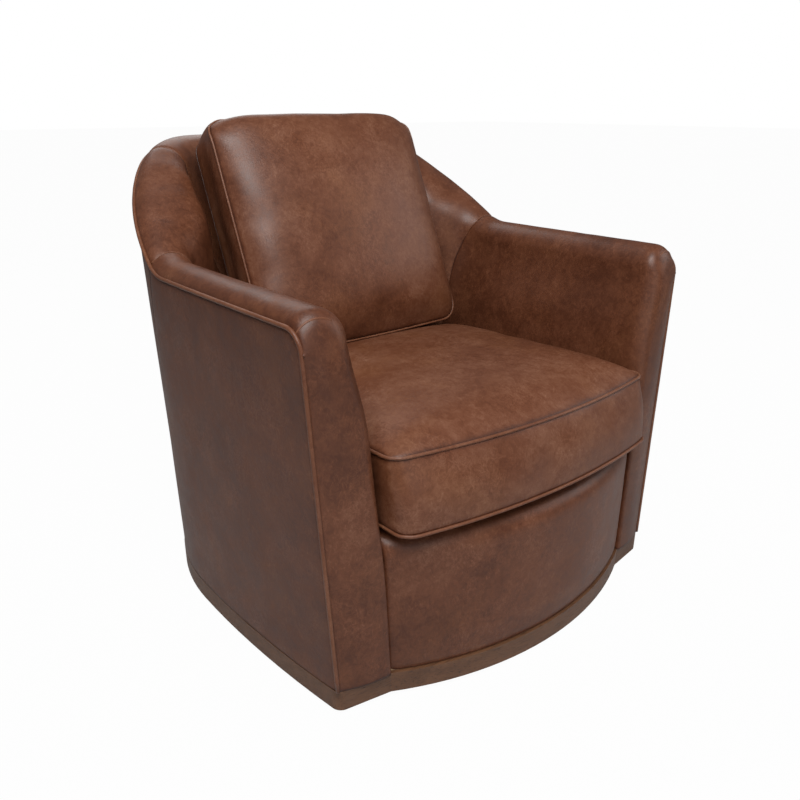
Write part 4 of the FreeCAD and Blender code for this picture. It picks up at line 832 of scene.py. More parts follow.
def arm_place(a, b):
    """Inside arm: the flat of the arm front, its rounding, then the roll and inside face."""
    a = spaced(a, ARM_ROWS)
    b = spaced(b, ARM_COLUMNS)
    foot = PANEL_FOOT
    dip = edge_tuck(a * WELT_RUN)
    if b < FACE_PART:
        share = b / FACE_PART
        wall = Wall(WALL_START)
        if a < SHOULDER:
            edge_share = EDGE_PART * a / SHOULDER
        else:
            edge_share = EDGE_PART + (1 - EDGE_PART) * (a - SHOULDER) / (1 - SHOULDER)
        edge_z = wall.welt + (foot - wall.welt) * edge_share
        here = wall.point(0.0, edge_z).lerp(wall.point(*wall.section(a, foot)), share)
        puff = FRONT_PUFF * (share * (2 - share) ** 2) ** 2
        return here + FORWARD * (puff * front_fullness(here.z) - edge_tuck(share * FRONT_DEPTH))
    if b < ROUND_PART:
        angle = math.pi / 2 * (b - FACE_PART) / (ROUND_PART - FACE_PART)
        s = WALL_START + FRONT_ROUND * (1 - math.cos(angle))
        here = pressed_in(s, wall_point(s, a, foot), dip)
        return here + FORWARD * (FRONT_PUFF * math.cos(angle) * front_fullness(here.z))
    share = (b - ROUND_PART) / (1 - ROUND_PART)
    start = WALL_START + FRONT_ROUND
    span = arm_seam_place(a, foot) - start
    s = start + share * span
    here = wall_point(s, a, foot)
    dip += edge_tuck((1 - share) * span)
    ripple = ARM_RIPPLE * noise_at(here, 14, 3.0) + ARM_FINE_RIPPLE * noise_at(here, 34, 9.0)
    return pressed_in(s, here, dip + ripple)


def below_seat(point):
    """The part of the arm behind its front post and under the seat frame, which has no leather."""
    return point.y > POST_BACK and point.z < seat_plane(point.y)


SIDES = ((-1, "left"), (1, "right"))
for side, word in SIDES:
    arm = sheet_over(f"{word}_inside_arm", ARM_ROWS, ARM_COLUMNS, arm_place, side,
                     HIDES["arm_inside"], drop=below_seat)
    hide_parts(f"{word}_inside_arm_leather", f"{word}_arm_pad", f"{word}_arm_front_pad")
    print(word, "inside arm", len(arm.data.polygons), "faces")

# %% [markdown]
# ## Wings and inside back
# The wings stand between the arms and the back and have a filling of their own, so they swell
# towards the back cushion. The inside back closes the tub behind it. Both lie on the same wall as
# the arms, so their grids only need other seams to start and end at. The slight folds of a wing are
# a noise drawn out along it, which costs less than a second simulation.

# %% Wings and inside back
WING_ROWS, WING_COLUMNS, BACK_COLUMNS = 30, 26, 30
WING_FOLD, WING_RIPPLE = 0.0036, 0.0008


def wing_place(a, b):
    """A wing, with slight folds that run down it from the roll."""
    a = spaced(a, WING_ROWS)
    b = spaced(b, WING_COLUMNS)
    start = arm_seam_place(a)
    span = wing_seam_place(a) - start
    s = start + b * span
    here = wall_point(s, a)
    dip = edge_tuck(a * WELT_RUN) + edge_tuck(b * span) + edge_tuck((1 - b) * span)
    fold = WING_FOLD * noise.noise(Vector((s * 26, a * 3.0, 2.0))) * math.sin(math.pi * min(1.0, a * 1.2))
    return pressed_in(s, here, dip + fold + WING_RIPPLE * noise_at(here, 15, 5.0))


def half_back(b):
    """Share of the way from the nearer seam to the middle of the back, and the side that b is on."""
    return (b * 2, -1) if b <= 0.5 else ((1 - b) * 2, 1)


def back_place(a, b):
    """The inside back, from the left wing's seam round to the right wing's."""
    a = spaced(a, WING_ROWS)
    half, side = half_back(spaced(b, BACK_COLUMNS))
    start = wing_seam_place(a)
    span = WALL_MIDDLE - start
    s = start + half * span
    here = wall_point(s, a, side=side)
    return pressed_in(s, here, edge_tuck(a * WELT_RUN) + edge_tuck(half * span), side)


for side, word in SIDES:
    wing = sheet_over(f"{word}_wing", WING_ROWS, WING_COLUMNS, wing_place, side, HIDES["wing"])
    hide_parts(f"{word}_wing_leather")
inside_back = sheet_over("inside_back", WING_ROWS, BACK_COLUMNS, back_place, -1, HIDES["back_inside"])
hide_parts("inside_back_leather", "back_pad")
print("inside back", len(inside_back.data.polygons), "faces")

# %% [markdown]
# ## Outside leather
# The outside is one flat cut on each arm and one round the back, pulled tight over hardboard. It only
# needs rows from the plinth up to the welt and the same tucked edges.

# %% Outside arms and outside back
OUT_ROWS, OUT_COLUMNS, OUT_BACK_COLUMNS = 22, 26, 44
OUT_WAVE = 0.0005
ARM_PANEL = (0.45, 0.55)
BACK_PANEL = (0.5, 0.6)
TUB_MIDDLE = 0.05
WELT_ROOM = 0.0022


def outside_point(s, share, side=-1):
    """A place on the outer face; share runs from the plinth up to the welt."""
    wall = Wall(s)
    z = PANEL_FOOT + share * (wall.welt - BASE_LEVEL - WELT_ROOM)
    return wall.point(0.0, z, side)


def outside_seam_place(share):
    """Path place of the seam between the outside arm and the outside back."""
    return read_table(OUTSIDE_SEAM, BASE_LEVEL + share * ARM_PANEL[1])


def to_middle(here):
    """Level direction from a place on the outside towards the middle of the tub."""
    return (Vector((0, TUB_MIDDLE, here.z)) - here).normalized()


def outside_arm_place(a, b):
    a = 1 - spaced(a, OUT_ROWS)
    b = spaced(b, OUT_COLUMNS)
    width, height = ARM_PANEL
    here = outside_point(WALL_START + b * (outside_seam_place(a) - WALL_START), a)
    dip = edge_tuck((1 - a) * height) + edge_tuck(b * width) + edge_tuck((1 - b) * width)
    return here + Vector((dip + OUT_WAVE * noise_at(here, 8, 1.0), 0, 0))


def outside_back_place(a, b):
    a = 1 - spaced(a, OUT_ROWS)
    half, side = half_back(spaced(b, OUT_BACK_COLUMNS))
    width, height = BACK_PANEL
    start = outside_seam_place(a)
    here = outside_point(start + half * (WALL_MIDDLE - start), a, side)
    dip = edge_tuck((1 - a) * height) + edge_tuck(half * width)
    return here + to_middle(here) * (dip + OUT_WAVE * noise_at(here, 8, 4.0))


for side, word in SIDES:
    panel = sheet_over(f"{word}_outside_arm", OUT_ROWS, OUT_COLUMNS, outside_arm_place, side,
                       HIDES["arm_outside"], flip=True)
    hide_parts(f"{word}_outside_arm_leather")
outside_back = sheet_over("outside_back", OUT_ROWS, OUT_BACK_COLUMNS, outside_back_place, -1,
                          HIDES["back_outside"])
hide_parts("outside_back_leather")
print("outside back", len(outside_back.data.polygons), "faces")

# %% [markdown]
# ## Cords and seams
# The edge of the tub is finished with a welt, a cord wrapped in leather and caught in the seam. A
# cord is a grid rolled into a tube round a list of places, merged where it closes. The plain seams of
# the wall get the same tube, much thinner and sunk in the groove, which is how a folded edge reads.
# In the lighter welt leather such a tube is a painted highlight along the edge, and in the dark
# leather it is a painted shadow line.


# %% Rolled cords
CORD_SIDES = 10


def cord_frames(path, closed):
    """Two crossing directions at each place of a path, carried along it without twist."""
    count = len(path)
    frames = []
    across = None
    for index in range(count):
        before = path[index - 1] if closed or index else path[index]
        after = path[(index + 1) % count] if closed or index < count - 1 else path[index]
        along = (after - before).normalized()
        if across is None:
            across = along.orthogonal()
        across = (across - along * across.dot(along)).normalized()
        frames.append((across, along.cross(across)))
    return frames


def roll_cord(name, path, radius, material, body, closed=False, squeeze=0.0):
    """A cord of leather along a path; squeeze varies its radius a little, as hand sewing does."""
    frames = cord_frames(path, closed)
    lengths = len(path) if closed else len(path) - 1
    mesh = bmesh.new()
    bmesh.ops.create_grid(mesh, x_segments=CORD_SIDES, y_segments=lengths, size=0.5)
    for vertex in mesh.verts:
        angle = math.tau * (vertex.co.x + 0.5)
        index = round((vertex.co.y + 0.5) * lengths) % len(path)
        here = path[index]
        wide = radius * (1 + squeeze * noise_at(here, 60, 2.0))
        across, up = frames[index]
        vertex.co = here + (across * math.cos(angle) + up * math.sin(angle)) * wide
    bmesh.ops.remove_doubles(mesh, verts=mesh.verts, dist=1e-5)
    if not closed:
        rims = [edge for edge in mesh.edges if edge.is_boundary]
        bmesh.ops.holes_fill(mesh, edges=rims, sides=0)
    bmesh.ops.recalc_face_normals(mesh, faces=mesh.faces)
    return finish_object(mesh, name, material, body)


def mirror_x(points):
    return [Vector((-point.x, point.y, point.z)) for point in points]


# %% Edge welt
WELT_RADIUS = 0.0032
WELT_PROUD = 0.0012
FRONT_STEPS, CORNER_STEPS, EDGE_STEPS = 26, 10, 110


def welt_path():
    """The welt's left half: up the arm front, round its corner, along the edge to the middle."""
    front = Wall(WALL_START)
    foot = BASE_LEVEL + WELT_RADIUS * 0.2
    corner_level = front.top - FRONT_ROUND
    path = []
    for step in range(FRONT_STEPS):
        path.append(front.point(-WELT_PROUD, foot + (corner_level - foot) * step / FRONT_STEPS))
    for step in range(CORNER_STEPS):
        turn = math.pi / 2 * step / CORNER_STEPS
        wall = Wall(WALL_START + FRONT_ROUND * (1 - math.cos(turn)))
        path.append(wall.point(-WELT_PROUD, wall.top - FRONT_ROUND * (1 - math.sin(turn))))
    for step in range(EDGE_STEPS + 1):
        wall = Wall(WALL_START + FRONT_ROUND + (WALL_MIDDLE - WALL_START - FRONT_ROUND) * step / EDGE_STEPS)
        path.append(wall.point(-WELT_PROUD, wall.top))
    return path


left_welt = welt_path()
right_welt = mirror_x(reversed(left_welt[:-1]))
edge_welt = roll_cord("edge_cord", left_welt + right_welt, WELT_RADIUS, HIDES["welt"], "chair", squeeze=0.05)
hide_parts("edge_welt")
print("edge welt", len(edge_welt.data.polygons), "faces")

# %% Folded edges along the plain seams
LIP_RADIUS = 0.0014
LIP_SINK = 0.0006
LIP_STEPS, DART_STEPS = 60, 24
INSIDE_ENDS = (0.02, 0.98)
OUTSIDE_ENDS = (0.004, 0.992)


def lip(name, place, steps, side, radius=LIP_RADIUS, hide="welt"):
    """A thin folded edge along place(t), t from 0 to 1."""
    path = [place(step / steps) for step in range(steps + 1)]
    if side > 0:
        path = mirror_x(path)
    return roll_cord(name, path, radius, HIDES[hide], "chair")


def inside_seam(seam_place, t):
    """A place on a seam of the inside face, sunk in its groove."""
    a = INSIDE_ENDS[0] + t * (INSIDE_ENDS[1] - INSIDE_ENDS[0])
    s = seam_place(a)
    return pressed_in(s, wall_point(s, a), LIP_SINK)


def arm_seam(t):
    return inside_seam(arm_seam_place, t)


def wing_seam(t):
    return inside_seam(wing_seam_place, t)


def outside_seam(t):
    share = OUTSIDE_ENDS[0] + t * (OUTSIDE_ENDS[1] - OUTSIDE_ENDS[0])
    here = outside_point(outside_seam_place(share), share)
    return here + to_middle(here) * LIP_SINK


# %% Dart on the arm front
DART_START, DART_DROP = 0.240, 0.004
DART_FROM, DART_REACH = 0.03, 0.28
DART_PROUD = 0.0006
DART_RADIUS = 0.0017
# Width of the dark cord that is a painted shadow line behind the dart.
SHADE_LINE_RADIUS = 0.0010


def dart_seam(t):
    """The short seam across the top of the arm front."""
    here = arm_place(DART_FROM + t * DART_REACH, DART_START - DART_DROP * (1 - (1 - t) ** 3))
    return here + Vector((0, -DART_PROUD, DART_PROUD)) * (1 - t ** 6)


def dart_shade_line(t):
    """A dark cord behind the dart, a painted shadow line where the two cuts of leather meet."""
    return dart_seam(t) + Vector((0, DART_RADIUS, DART_RADIUS * 0.6))


for side, word in SIDES:
    # The inside seams and the dart are in the lighter welt leather, a painted highlight on the folded edge;
    # the outside seams and the line behind the dart are in dark leather, a painted shadow line.
    lip(f"{word}_arm_seam", arm_seam, LIP_STEPS, side)
    lip(f"{word}_wing_seam", wing_seam, LIP_STEPS, side)
    lip(f"{word}_outside_seam", outside_seam, LIP_STEPS, side, LIP_RADIUS, "shade_line")
    lip(f"{word}_arm_front_dart", dart_seam, DART_STEPS, side, DART_RADIUS)
    lip(f"{word}_arm_front_shade_line", dart_shade_line, DART_STEPS, side, SHADE_LINE_RADIUS, "shade_line")
print("the dart on the arm front starts at", tuple(round(value, 3) for value in dart_seam(0.0)))

# %% [markdown]
# ## Front border
# Below the seat cushion a bowed rail is padded and covered with one cut of leather, rolled over at
# the top so that the cushion lies behind a soft lip. Its ends are drawn into the seams beside the
# arm fronts and its foot is drawn down to the plinth.

# %% Front border
BOW_CENTRE = 0.158
BOW_RADIUS = 0.620
RAIL_TOP = 0.275
RAIL_ROUND = 0.030
RAIL_DEPTH = 0.060
RAIL_HALF = 0.2842
BORDER_PUFF = 0.0035
BORDER_FADE = 0.05
BORDER_RIPPLE = 0.0007
BORDER_END_REACH, BORDER_FOOT_REACH = 0.010, 0.008
BORDER_TUCKED = 0.004
BORDER_ROWS, BORDER_COLUMNS = 26, 44


def border_place(a, b):
    """Front border: back of the roll, over its top, then down the front to the plinth."""
    a = spaced(a, BORDER_ROWS)
    b = spaced(b, BORDER_COLUMNS)
    flat = RAIL_DEPTH - RAIL_ROUND
    curve = RAIL_ROUND * math.pi / 2
    drop = RAIL_TOP - RAIL_ROUND - PANEL_FOOT
    run = a * (flat + curve + drop)
    if run < flat:
        reach, z, tilt = BOW_RADIUS - RAIL_DEPTH + run, RAIL_TOP, math.pi / 2
    elif run < flat + curve:
        tilt = math.pi / 2 - (run - flat) / RAIL_ROUND
        reach = BOW_RADIUS - RAIL_ROUND + RAIL_ROUND * math.cos(tilt)
        z = RAIL_TOP - RAIL_ROUND + RAIL_ROUND * math.sin(tilt)
    else:
        reach, z, tilt = BOW_RADIUS, RAIL_TOP - RAIL_ROUND - (run - flat - curve), 0.0
    share = min(1.0, (z - BASE_LEVEL) / (SEAT_PLANE_HEIGHT - BASE_LEVEL))
    half = BASE_HALF_GAP + (RAIL_HALF - BASE_HALF_GAP) * share + BORDER_TUCKED * (1 - share)
    across = (2 * b - 1) * half
    edge = half - abs(across)
    swell = BORDER_PUFF * (1 - (2 * b - 1) ** 6) * min(1.0, (z - PANEL_FOOT) / BORDER_FADE)
    swell -= edge_tuck(edge, BORDER_END_REACH) * 2 + edge_tuck(z - PANEL_FOOT, BORDER_FOOT_REACH)
    swell += BORDER_RIPPLE * noise_at(Vector((across, 0, z)), 11, 7.0)
    reach += swell * math.cos(tilt)
    z += swell * math.sin(tilt) * 0.5
    angle = math.asin(across / reach)
    return Vector((across, BOW_CENTRE - reach * math.cos(angle), z))


border = sheet_over("front_border", BORDER_ROWS, BORDER_COLUMNS, border_place, -1,
                    HIDES["border"], flip=True)
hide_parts("front_border_leather", "front_rail_pad")
print("front border", len(border.data.polygons), "faces")

# %% [markdown]
# ## Loose cushions
# Both cushions are boxes of leather: two panels and a border between them, filled more than they can
# hold. Each starts as a cube whose faces are divided into a grid, closest near the seams. The grid is
# moved onto the cushion's outline, the panels are crowned, and then a cloth simulation blows the
# cover up against its seams, which gives it the small unevenness of a real filling. Sculpting could
# give it too, but then no number would say how full the cushion is.
#
# Of the sizes in pairs, half, low and crowns have one value for the hidden panel and one for the
# panel in sight, corners and swell one for the bowed edge and one for the opposite edge, and
# overhang one for that opposite edge and one for the sides.


# %% A cushion and its outline
SIDE_DRAW = 0.005
GRID_CLOSING = 0.25
EDGE_BLEND = 1.4
HIDDEN_FULLNESS = 1.3
OVERHANG_FROM = (0.70, 0.72)
SETTLE_FROM = 0.72
PLEATS_ACROSS, PLEATS_UP = 9, 8
PLEAT_RUN = 1.2
PLEATS_FROM = (0.55, 0.6)
ROLLED_DOWN = 0.35
ON_FACE = 0.9999


def hump(value, start):
    """0 up to the start and at 1, rising to 1 two thirds of the way between."""
    t = max(0.0, (value - start) / (1 - start))
    return 6.75 * t * t * (1 - t)


class Cushion(SimpleNamespace):
    """A boxed cushion. X runs across, Y up its panels from the bowed edge, Z from panel to panel."""

    crowns = (0.0, 0.0)
    swell = (0.0, 0.0)
    overhang = (0.0, 0.0)
    set_back = 0.0
    pucker = 0.0
    squareness = 3.0

    def world(self, x, y, z):
        """The place in the room of a place measured on the cushion."""
        return self.origin + Vector((x, 0, 0)) + self.upwards * y + self.outwards * z

    def level(self, point):
        """How far a place in the room is from the hidden panel's outline, towards the other one."""
        return (point - self.origin).dot(self.outwards)

    def flat(self, x, y, share, outside=0.0):
        """Place on a panel's outline for x and y from -1 to 1, and the way out of the cushion there."""
        half = self.half[0] + share * (self.half[1] - self.half[0])
        low = self.low[0] + share * (self.low[1] - self.low[0])
        deep = (self.high - low) / 2
        radius = self.corners[0] if y < 0 else self.corners[1]
        far = max(abs(x), abs(y), 1e-6)
        rim_x, rim_y = abs(x) / far, abs(y) / far
        from_corner = half * (1 - rim_x) + deep * (1 - rim_y)
        on_side = rim_x >= rim_y
        move_x = move_y = 0.0
        angle = 0.0 if on_side else math.pi / 2
        if from_corner < radius:
            turn = math.pi / 4 * (1 - from_corner / radius)
            drawn = radius * (math.cos(turn) - 1)
            slid = radius * (math.sin(turn) - 1) + from_corner
            move_x, move_y = (drawn, slid) if on_side else (slid, drawn)
            angle = turn if on_side else math.pi / 2 - turn
        fade = far ** 6
        side_x = math.copysign(1, x)
        side_y = math.copysign(1, y)
        way_x = side_x * math.cos(angle)
        way_y = side_y * math.sin(angle)
        across = half * x + side_x * move_x * fade
        along = low + deep * (1 + y) + side_y * move_y * fade
        along += (self.bow - math.sqrt(self.bow ** 2 - across ** 2)) * (1 - y) / 2
        return across + way_x * outside, along + way_y * outside, (way_x, way_y)

    def settle(self, y, far, share):
        """How far the front panel's top seam has rolled back over the filling."""
        near_top = max(0.0, (y - SETTLE_FROM) / (1 - SETTLE_FROM))
        return self.set_back * near_top ** 2 * far ** 6 * share

    def place(self, cube):
        """Where a point of the cube from -1 to 1 lies on the cushion."""
        x = (1 + GRID_CLOSING) * cube.x - GRID_CLOSING * cube.x ** 3
        y = (1 + GRID_CLOSING) * cube.y - GRID_CLOSING * cube.y ** 3
        share = (cube.z + 1) / 2
        far = max(abs(x), abs(y))
        bulge = 0.0
        if far > ON_FACE:
            way_y = self.flat(x, y, share)[2][1]
            front = min(max(-way_y * EDGE_BLEND, 0.0), 1.0)
            top = min(max(way_y * EDGE_BLEND - (EDGE_BLEND - 1), 0.0), 1.0)
            swell = front * self.swell[0] + top * self.swell[1] - (1 - front - top) * SIDE_DRAW
            bulge = (1 - cube.z ** 2) * swell
        across, along, _ = self.flat(x, y, share, bulge)
        from_sides = 1 - abs(x) ** self.squareness
        from_ends = 1 - abs(y) ** self.squareness
        fullness = math.sqrt(max(0.0, from_sides * from_ends))
        z = self.border * share
        if cube.z > ON_FACE:
            z += self.crowns[1] * fullness + self.ruffle(x, y, fullness)
            along += self.overhang[0] * hump(y, OVERHANG_FROM[0]) * (1 - abs(x) ** 5)
            aside = self.overhang[1] * hump(abs(x), OVERHANG_FROM[1]) * (1 - abs(y) ** 5)
            across += math.copysign(aside, x)
        elif cube.z < -ON_FACE:
            z -= self.crowns[0] * min(1.0, fullness * HIDDEN_FULLNESS)
        back = self.settle(y, far, share)
        return self.world(across, along - back * ROLLED_DOWN, z - back)

    def ruffle(self, x, y, fullness):
        """Small pleats that run in from the seams and fade towards the middle."""
        near = 1 - fullness
        ends = noise.noise(Vector((x * PLEATS_ACROSS, y * PLEAT_RUN, 4.0)))
        sides = noise.noise(Vector((x * PLEAT_RUN, y * PLEATS_UP, 8.0)))
        ends *= max(0.0, abs(y) - PLEATS_FROM[0])
        sides *= max(0.0, abs(x) - PLEATS_FROM[1])
        return self.pucker * (ends + sides * 0.3) * fullness * (0.4 + near) * 2

    def rim(self, share, outside, steps):
        """Closed path just outside the seam of a panel."""
        path = []
        for side in range(4):
            for step in range(steps):
                run = 2 * step / steps - 1
                x, y = ((run, -1), (1, run), (-run, 1), (-1, -run))[side]
                across, along, _ = self.flat(x, y, share, outside)
                back = self.settle(y, 1.0, share)
                path.append(self.world(across, along - back * ROLLED_DOWN, self.border * share - back))
        return path


# %% Grid of a cushion
PANEL_CUTS = 27
BORDER_CUTS = 7


def divided_cube():
    """A cube with a fine grid on its panels and a coarser one through its border."""
    mesh = bmesh.new()
    bmesh.ops.create_cube(mesh, size=2)
    uprights = [edge for edge in mesh.edges if abs(edge.verts[0].co.z - edge.verts[1].co.z) > 1]
    bmesh.ops.subdivide_edges(mesh, edges=uprights, cuts=BORDER_CUTS, use_grid_fill=True)
    rings = [edge for edge in mesh.edges if abs(edge.verts[0].co.z - edge.verts[1].co.z) < 0.01]
    bmesh.ops.subdivide_edges(mesh, edges=rings, cuts=PANEL_CUTS, use_grid_fill=True)
    return mesh


# %% Filling a cushion
PRESSURE = 3.5
SHRINK = -0.015
CLOTH_STEPS = 20
RELAX_STEPS = 3


def fill(piece, held, reach):
    """Blow the cover up against its held seams; no point moves further than reach(point)."""
    seams = piece.vertex_groups.new(name="seams")
    seams.add(held, 1.0, "REPLACE")
    cloth = piece.modifiers.new("filling", "CLOTH")
    cloth.settings.quality = 5
    cloth.settings.mass = 0.3
    cloth.settings.tension_stiffness = 12
    cloth.settings.compression_stiffness = 12
    cloth.settings.shear_stiffness = 4
    cloth.settings.bending_stiffness = 1.5
    cloth.settings.vertex_group_mass = "seams"
    cloth.settings.shrink_min = SHRINK
    cloth.settings.use_pressure = True
    cloth.settings.uniform_pressure_force = PRESSURE
    cloth.settings.effector_weights.gravity = 0
    cloth.collision_settings.use_collision = False
    for step in range(1, CLOTH_STEPS + 1):
        scene.frame_set(step)
    evaluated = piece.evaluated_get(bpy.context.evaluated_depsgraph_get())
    blown = [vertex.co.copy() for vertex in evaluated.data.vertices]
    piece.modifiers.remove(cloth)
    scene.frame_set(1)
    furthest = 0.0
    for vertex, there in zip(piece.data.vertices, blown):
        move = there - vertex.co
        furthest = max(furthest, move.length)
        limit = reach(vertex.co)
        if move.length > limit:
            move *= limit / move.length
        vertex.co += move
    relax(piece, held)
    return furthest


def relax(piece, held):
    """Even out the cover between its seams, as stretched leather does."""
    fixed = set(held)
    mesh = bmesh.new()
    mesh.from_mesh(piece.data)
    mesh.verts.ensure_lookup_table()
    free = [vertex for vertex in mesh.verts if vertex.index not in fixed]
    for _ in range(RELAX_STEPS):
        bmesh.ops.smooth_vert(mesh, verts=free, factor=0.5,
                              use_axis_x=True, use_axis_y=True, use_axis_z=True)
    mesh.to_mesh(piece.data)
    mesh.free()


# %% Making a cushion
def on_seam(vertex):
    """Whether a point of the cube is on the edge of one of its two panels."""
    return abs(vertex.co.z) > ON_FACE and max(abs(vertex.co.x), abs(vertex.co.y)) > ON_FACE


def make_cushion(name, cushion, material, body, reach, nodes):
    """Sew and fill a cushion; without a reach it keeps its sewn form."""
    mesh = divided_cube()
    # The cushion's seams get painted shade.
    mark_painted_seam_shade(mesh, on_seam)
    mesh.verts.index_update()
    held = [vertex.index for vertex in mesh.verts if on_seam(vertex)]
    for vertex in mesh.verts:
        vertex.co = cushion.place(vertex.co)
    bmesh.ops.recalc_face_normals(mesh, faces=mesh.faces)
    piece = finish_object(mesh, name, material, body)
    if reach:
        print(name, "was blown up by as much as", round(fill(piece, held, reach), 4), "m before the limit")
    soften(piece, thickness=0)
    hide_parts(*nodes)
    print(name, len(piece.data.polygons), "faces before rounding")


# %% [markdown]
# ## Seat cushion
# The seat cushion reaches back into the round of the tub, and its bowed front lies flush over the
# front border. It rests on the deck, so its lower panel is nearly flat and isn't blown up, while
# the upper one is crowned. Its front corners are tight and its rear ones wide.

# %% Seat cushion
SEAT_FRONT = Vector((0, -SEAT_PLANE_FRONT, SEAT_PLANE_HEIGHT))
SEAT_TILT = Vector((0, math.cos(SEAT_SLOPE), -math.sin(SEAT_SLOPE)))
SEAT_NORMAL = Vector((0, math.sin(SEAT_SLOPE), math.cos(SEAT_SLOPE)))
SEAT_LIFT = 0.0367
SEAT_SAG = 0.007
SEAT_SWELL = 0.006
seat = Cushion(
    origin=SEAT_FRONT + SEAT_NORMAL * SEAT_LIFT, upwards=SEAT_TILT, outwards=SEAT_NORMAL,
    half=(0.278, 0.281), low=(-0.044, -0.0265), high=0.524, border=0.115, corners=(0.022, 0.115),
    bow=1.150, crowns=(SEAT_SAG, 0.0404), swell=(0.005, -SIDE_DRAW), pucker=0.004,
)


def seat_reach(point):
    """The panel that lies on the deck stays where it is."""
    return 0.0 if seat.level(point) < 0 else SEAT_SWELL


make_cushion("seat_cushion", seat, HIDES["seat"], "seat_cushion", seat_reach, ("seat_core", "seat_casing"))

# %% [markdown]
# ## Back cushion
# The back cushion leans on the inside back. It is softer than the seat, so both its panels are
# crowned, the one in sight hangs over a little at the top, and its top seam has rolled back over
# the filling. The same class makes it from other sizes, so that both are sewn alike.

# %% Back cushion
PILLOW_LEAN = math.radians(24)
PILLOW_UP = Vector((0, math.sin(PILLOW_LEAN), math.cos(PILLOW_LEAN)))
PILLOW_OUT = Vector((0, -math.cos(PILLOW_LEAN), math.sin(PILLOW_LEAN)))
PILLOW_HEIGHT = 0.430
PILLOW_LOFT = 0.013
PILLOW_BORDER = 0.110
PILLOW_TOP = Vector((0, 0.193, 0.818))
PILLOW_SWELL, HIDDEN_SWELL = 0.008, 0.002
pillow = Cushion(
    origin=PILLOW_TOP - PILLOW_UP * PILLOW_HEIGHT - PILLOW_OUT * PILLOW_BORDER,
    upwards=PILLOW_UP, outwards=PILLOW_OUT,
    half=(0.212, 0.226), low=(0.046, 0.0), high=PILLOW_HEIGHT + PILLOW_LOFT, border=PILLOW_BORDER,
    corners=(0.036, 0.036), bow=6.0, crowns=(0.036, 0.050), swell=(0.0, 0.010), set_back=0.014,
    pucker=0.008, overhang=(0.022, 0.009), squareness=2.2,
)


def pillow_reach(point):
    """The half towards the back has little room to swell."""
    return PILLOW_SWELL if pillow.level(point) > PILLOW_BORDER * 0.5 else HIDDEN_SWELL


make_cushion("back_cushion", pillow, HIDES["pillow"], "back_cushion", pillow_reach,
             ("back_core", "back_casing"))

# %% [markdown]
# ## Welts of the cushions
# A cord is sewn into the seam round each panel. It could be bevelled out of the cushion's own edge,
# but a cord of its own keeps its round section and its lighter tone, which is partly a painted
# highlight. The rounding of a cover draws its seams in, so each cord is set in as well. The back
# cushion's rear cord is in the dark leather of the painted shadow lines instead.

# %% Welts of the cushions
CUSHION_WELT = 0.0026
PILLOW_WELT = 0.0021
HIDDEN_WELT = 0.0013
CORD_PROUD = 0.9
SEAM_DRAWN = 0.0024
RIM_STEPS = 70


def cushion_welt(name, cushion, share, radius, hide, body, node):
    """The cord round one panel of a cushion; share is 0 at the hidden panel and 1 at the other."""
    outside = radius * CORD_PROUD - SEAM_DRAWN
    inward = cushion.outwards * (SEAM_DRAWN * 0.5 * (1 - 2 * share))
    path = [point + inward for point in cushion.rim(share, outside, RIM_STEPS)]
    cord = roll_cord(name, path, radius, HIDES[hide], body, closed=True, squeeze=0.06)
    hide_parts(node)
    print(name, len(cord.data.polygons), "faces")


cushion_welt("seat_lower_cord", seat, 0.0, CUSHION_WELT, "welt", "seat_cushion", "seat_welts")
cushion_welt("seat_upper_cord", seat, 1.0, CUSHION_WELT, "welt", "seat_cushion", "seat_welts")
# The back cushion's rear cord is dark, a painted shadow line where it meets the wings.
cushion_welt("back_cushion_rear_cord", pillow, 0.0, HIDDEN_WELT, "shade_line", "back_cushion", "back_welts")
cushion_welt("back_cushion_front_cord", pillow, 1.0, PILLOW_WELT, "welt", "back_cushion", "back_welts")

# %% [markdown]
# ## Deck under the seat cushion
# Lifting the seat cushion shows a flat pad over the springs, in a dark platform cloth that costs less
# than leather and lets the cushion breathe. Its top stays flat, because the cushion rests on it.

# %% Deck pad
deck = Cushion(
    origin=SEAT_FRONT + SEAT_NORMAL * DECK_LOW, upwards=SEAT_TILT, outwards=SEAT_NORMAL,
    half=(0.2815, 0.2815), low=(0.0192, 0.0192), high=0.565, border=0.0249, corners=(0.006, 0.110),
    bow=0.5595,
)
make_cushion("deck_cover", deck, PLATFORM, "chair", None, ("deck_pad", "insulator_felt"))

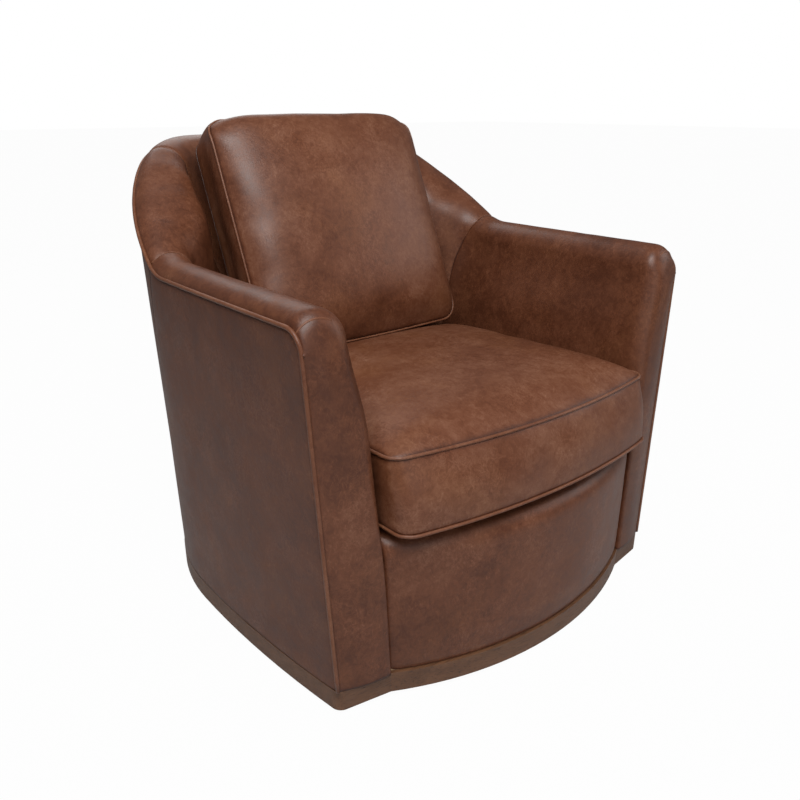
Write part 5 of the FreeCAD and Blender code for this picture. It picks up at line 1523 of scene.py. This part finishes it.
# %% [markdown]
# ## Floor and surroundings
# The surroundings light the chair softly from all sides. A ray that comes straight from the camera
# meets plain white instead, which is the ground of the picture. The floor is pale paper that glows
# for such a ray only, and a little less than fully, so that it still takes the chair's shadow.

# %% World and floor
WHITE = (1, 1, 1, 1)
AMBIENT = (0.62, 0.62, 0.64, 1)
AMBIENT_STRENGTH = 0.23
FLOOR_SIZE = 30.0
FLOOR_GLOW = 0.975

world = bpy.data.worlds.new("studio")
scene.world = world
world.use_nodes = True
tree = world.node_tree
ambient = tree.nodes["Background"]
ambient.inputs["Color"].default_value = AMBIENT
ambient.inputs["Strength"].default_value = AMBIENT_STRENGTH
white = tree.nodes.new("ShaderNodeBackground")
white.inputs["Color"].default_value = WHITE
rays = tree.nodes.new("ShaderNodeLightPath")
choose = tree.nodes.new("ShaderNodeMixShader")
tree.links.new(rays.outputs["Is Camera Ray"], choose.inputs[0])
tree.links.new(ambient.outputs[0], choose.inputs[1])
tree.links.new(white.outputs[0], choose.inputs[2])
tree.links.new(choose.outputs[0], tree.nodes["World Output"].inputs["Surface"])

paper = Finish("floor_paper", Roughness=0.95, Specular_IOR_Level=0.1)
fibre = paper.cloud(300, 3.0)
paper.shade(Base_Color=paper.ramp(fibre, (0.3, (0.50, 0.50, 0.50)), (0.7, (0.54, 0.54, 0.54))))
glow = paper.node("ShaderNodeEmission", {}, {"Color": WHITE, "Strength": 1.0})
seen = Field(paper, paper.node("ShaderNodeLightPath").outputs["Is Camera Ray"]) * FLOOR_GLOW
mixed = paper.node("ShaderNodeMixShader", {}, {0: seen, 1: paper.shader.outputs[0], 2: glow.outputs[0]})
paper.feed(paper.tree.nodes["Material Output"].inputs["Surface"], mixed.outputs[0])
floor_mesh = bmesh.new()
bmesh.ops.create_grid(floor_mesh, x_segments=1, y_segments=1, size=FLOOR_SIZE)
floor_data = bpy.data.meshes.new("floor")
floor_mesh.to_mesh(floor_data)
floor_mesh.free()
floor_data.materials.append(paper.material)
floor = bpy.data.objects.new("floor", floor_data)
scene.collection.objects.link(floor)
print("floor", 2 * FLOOR_SIZE, "m wide")
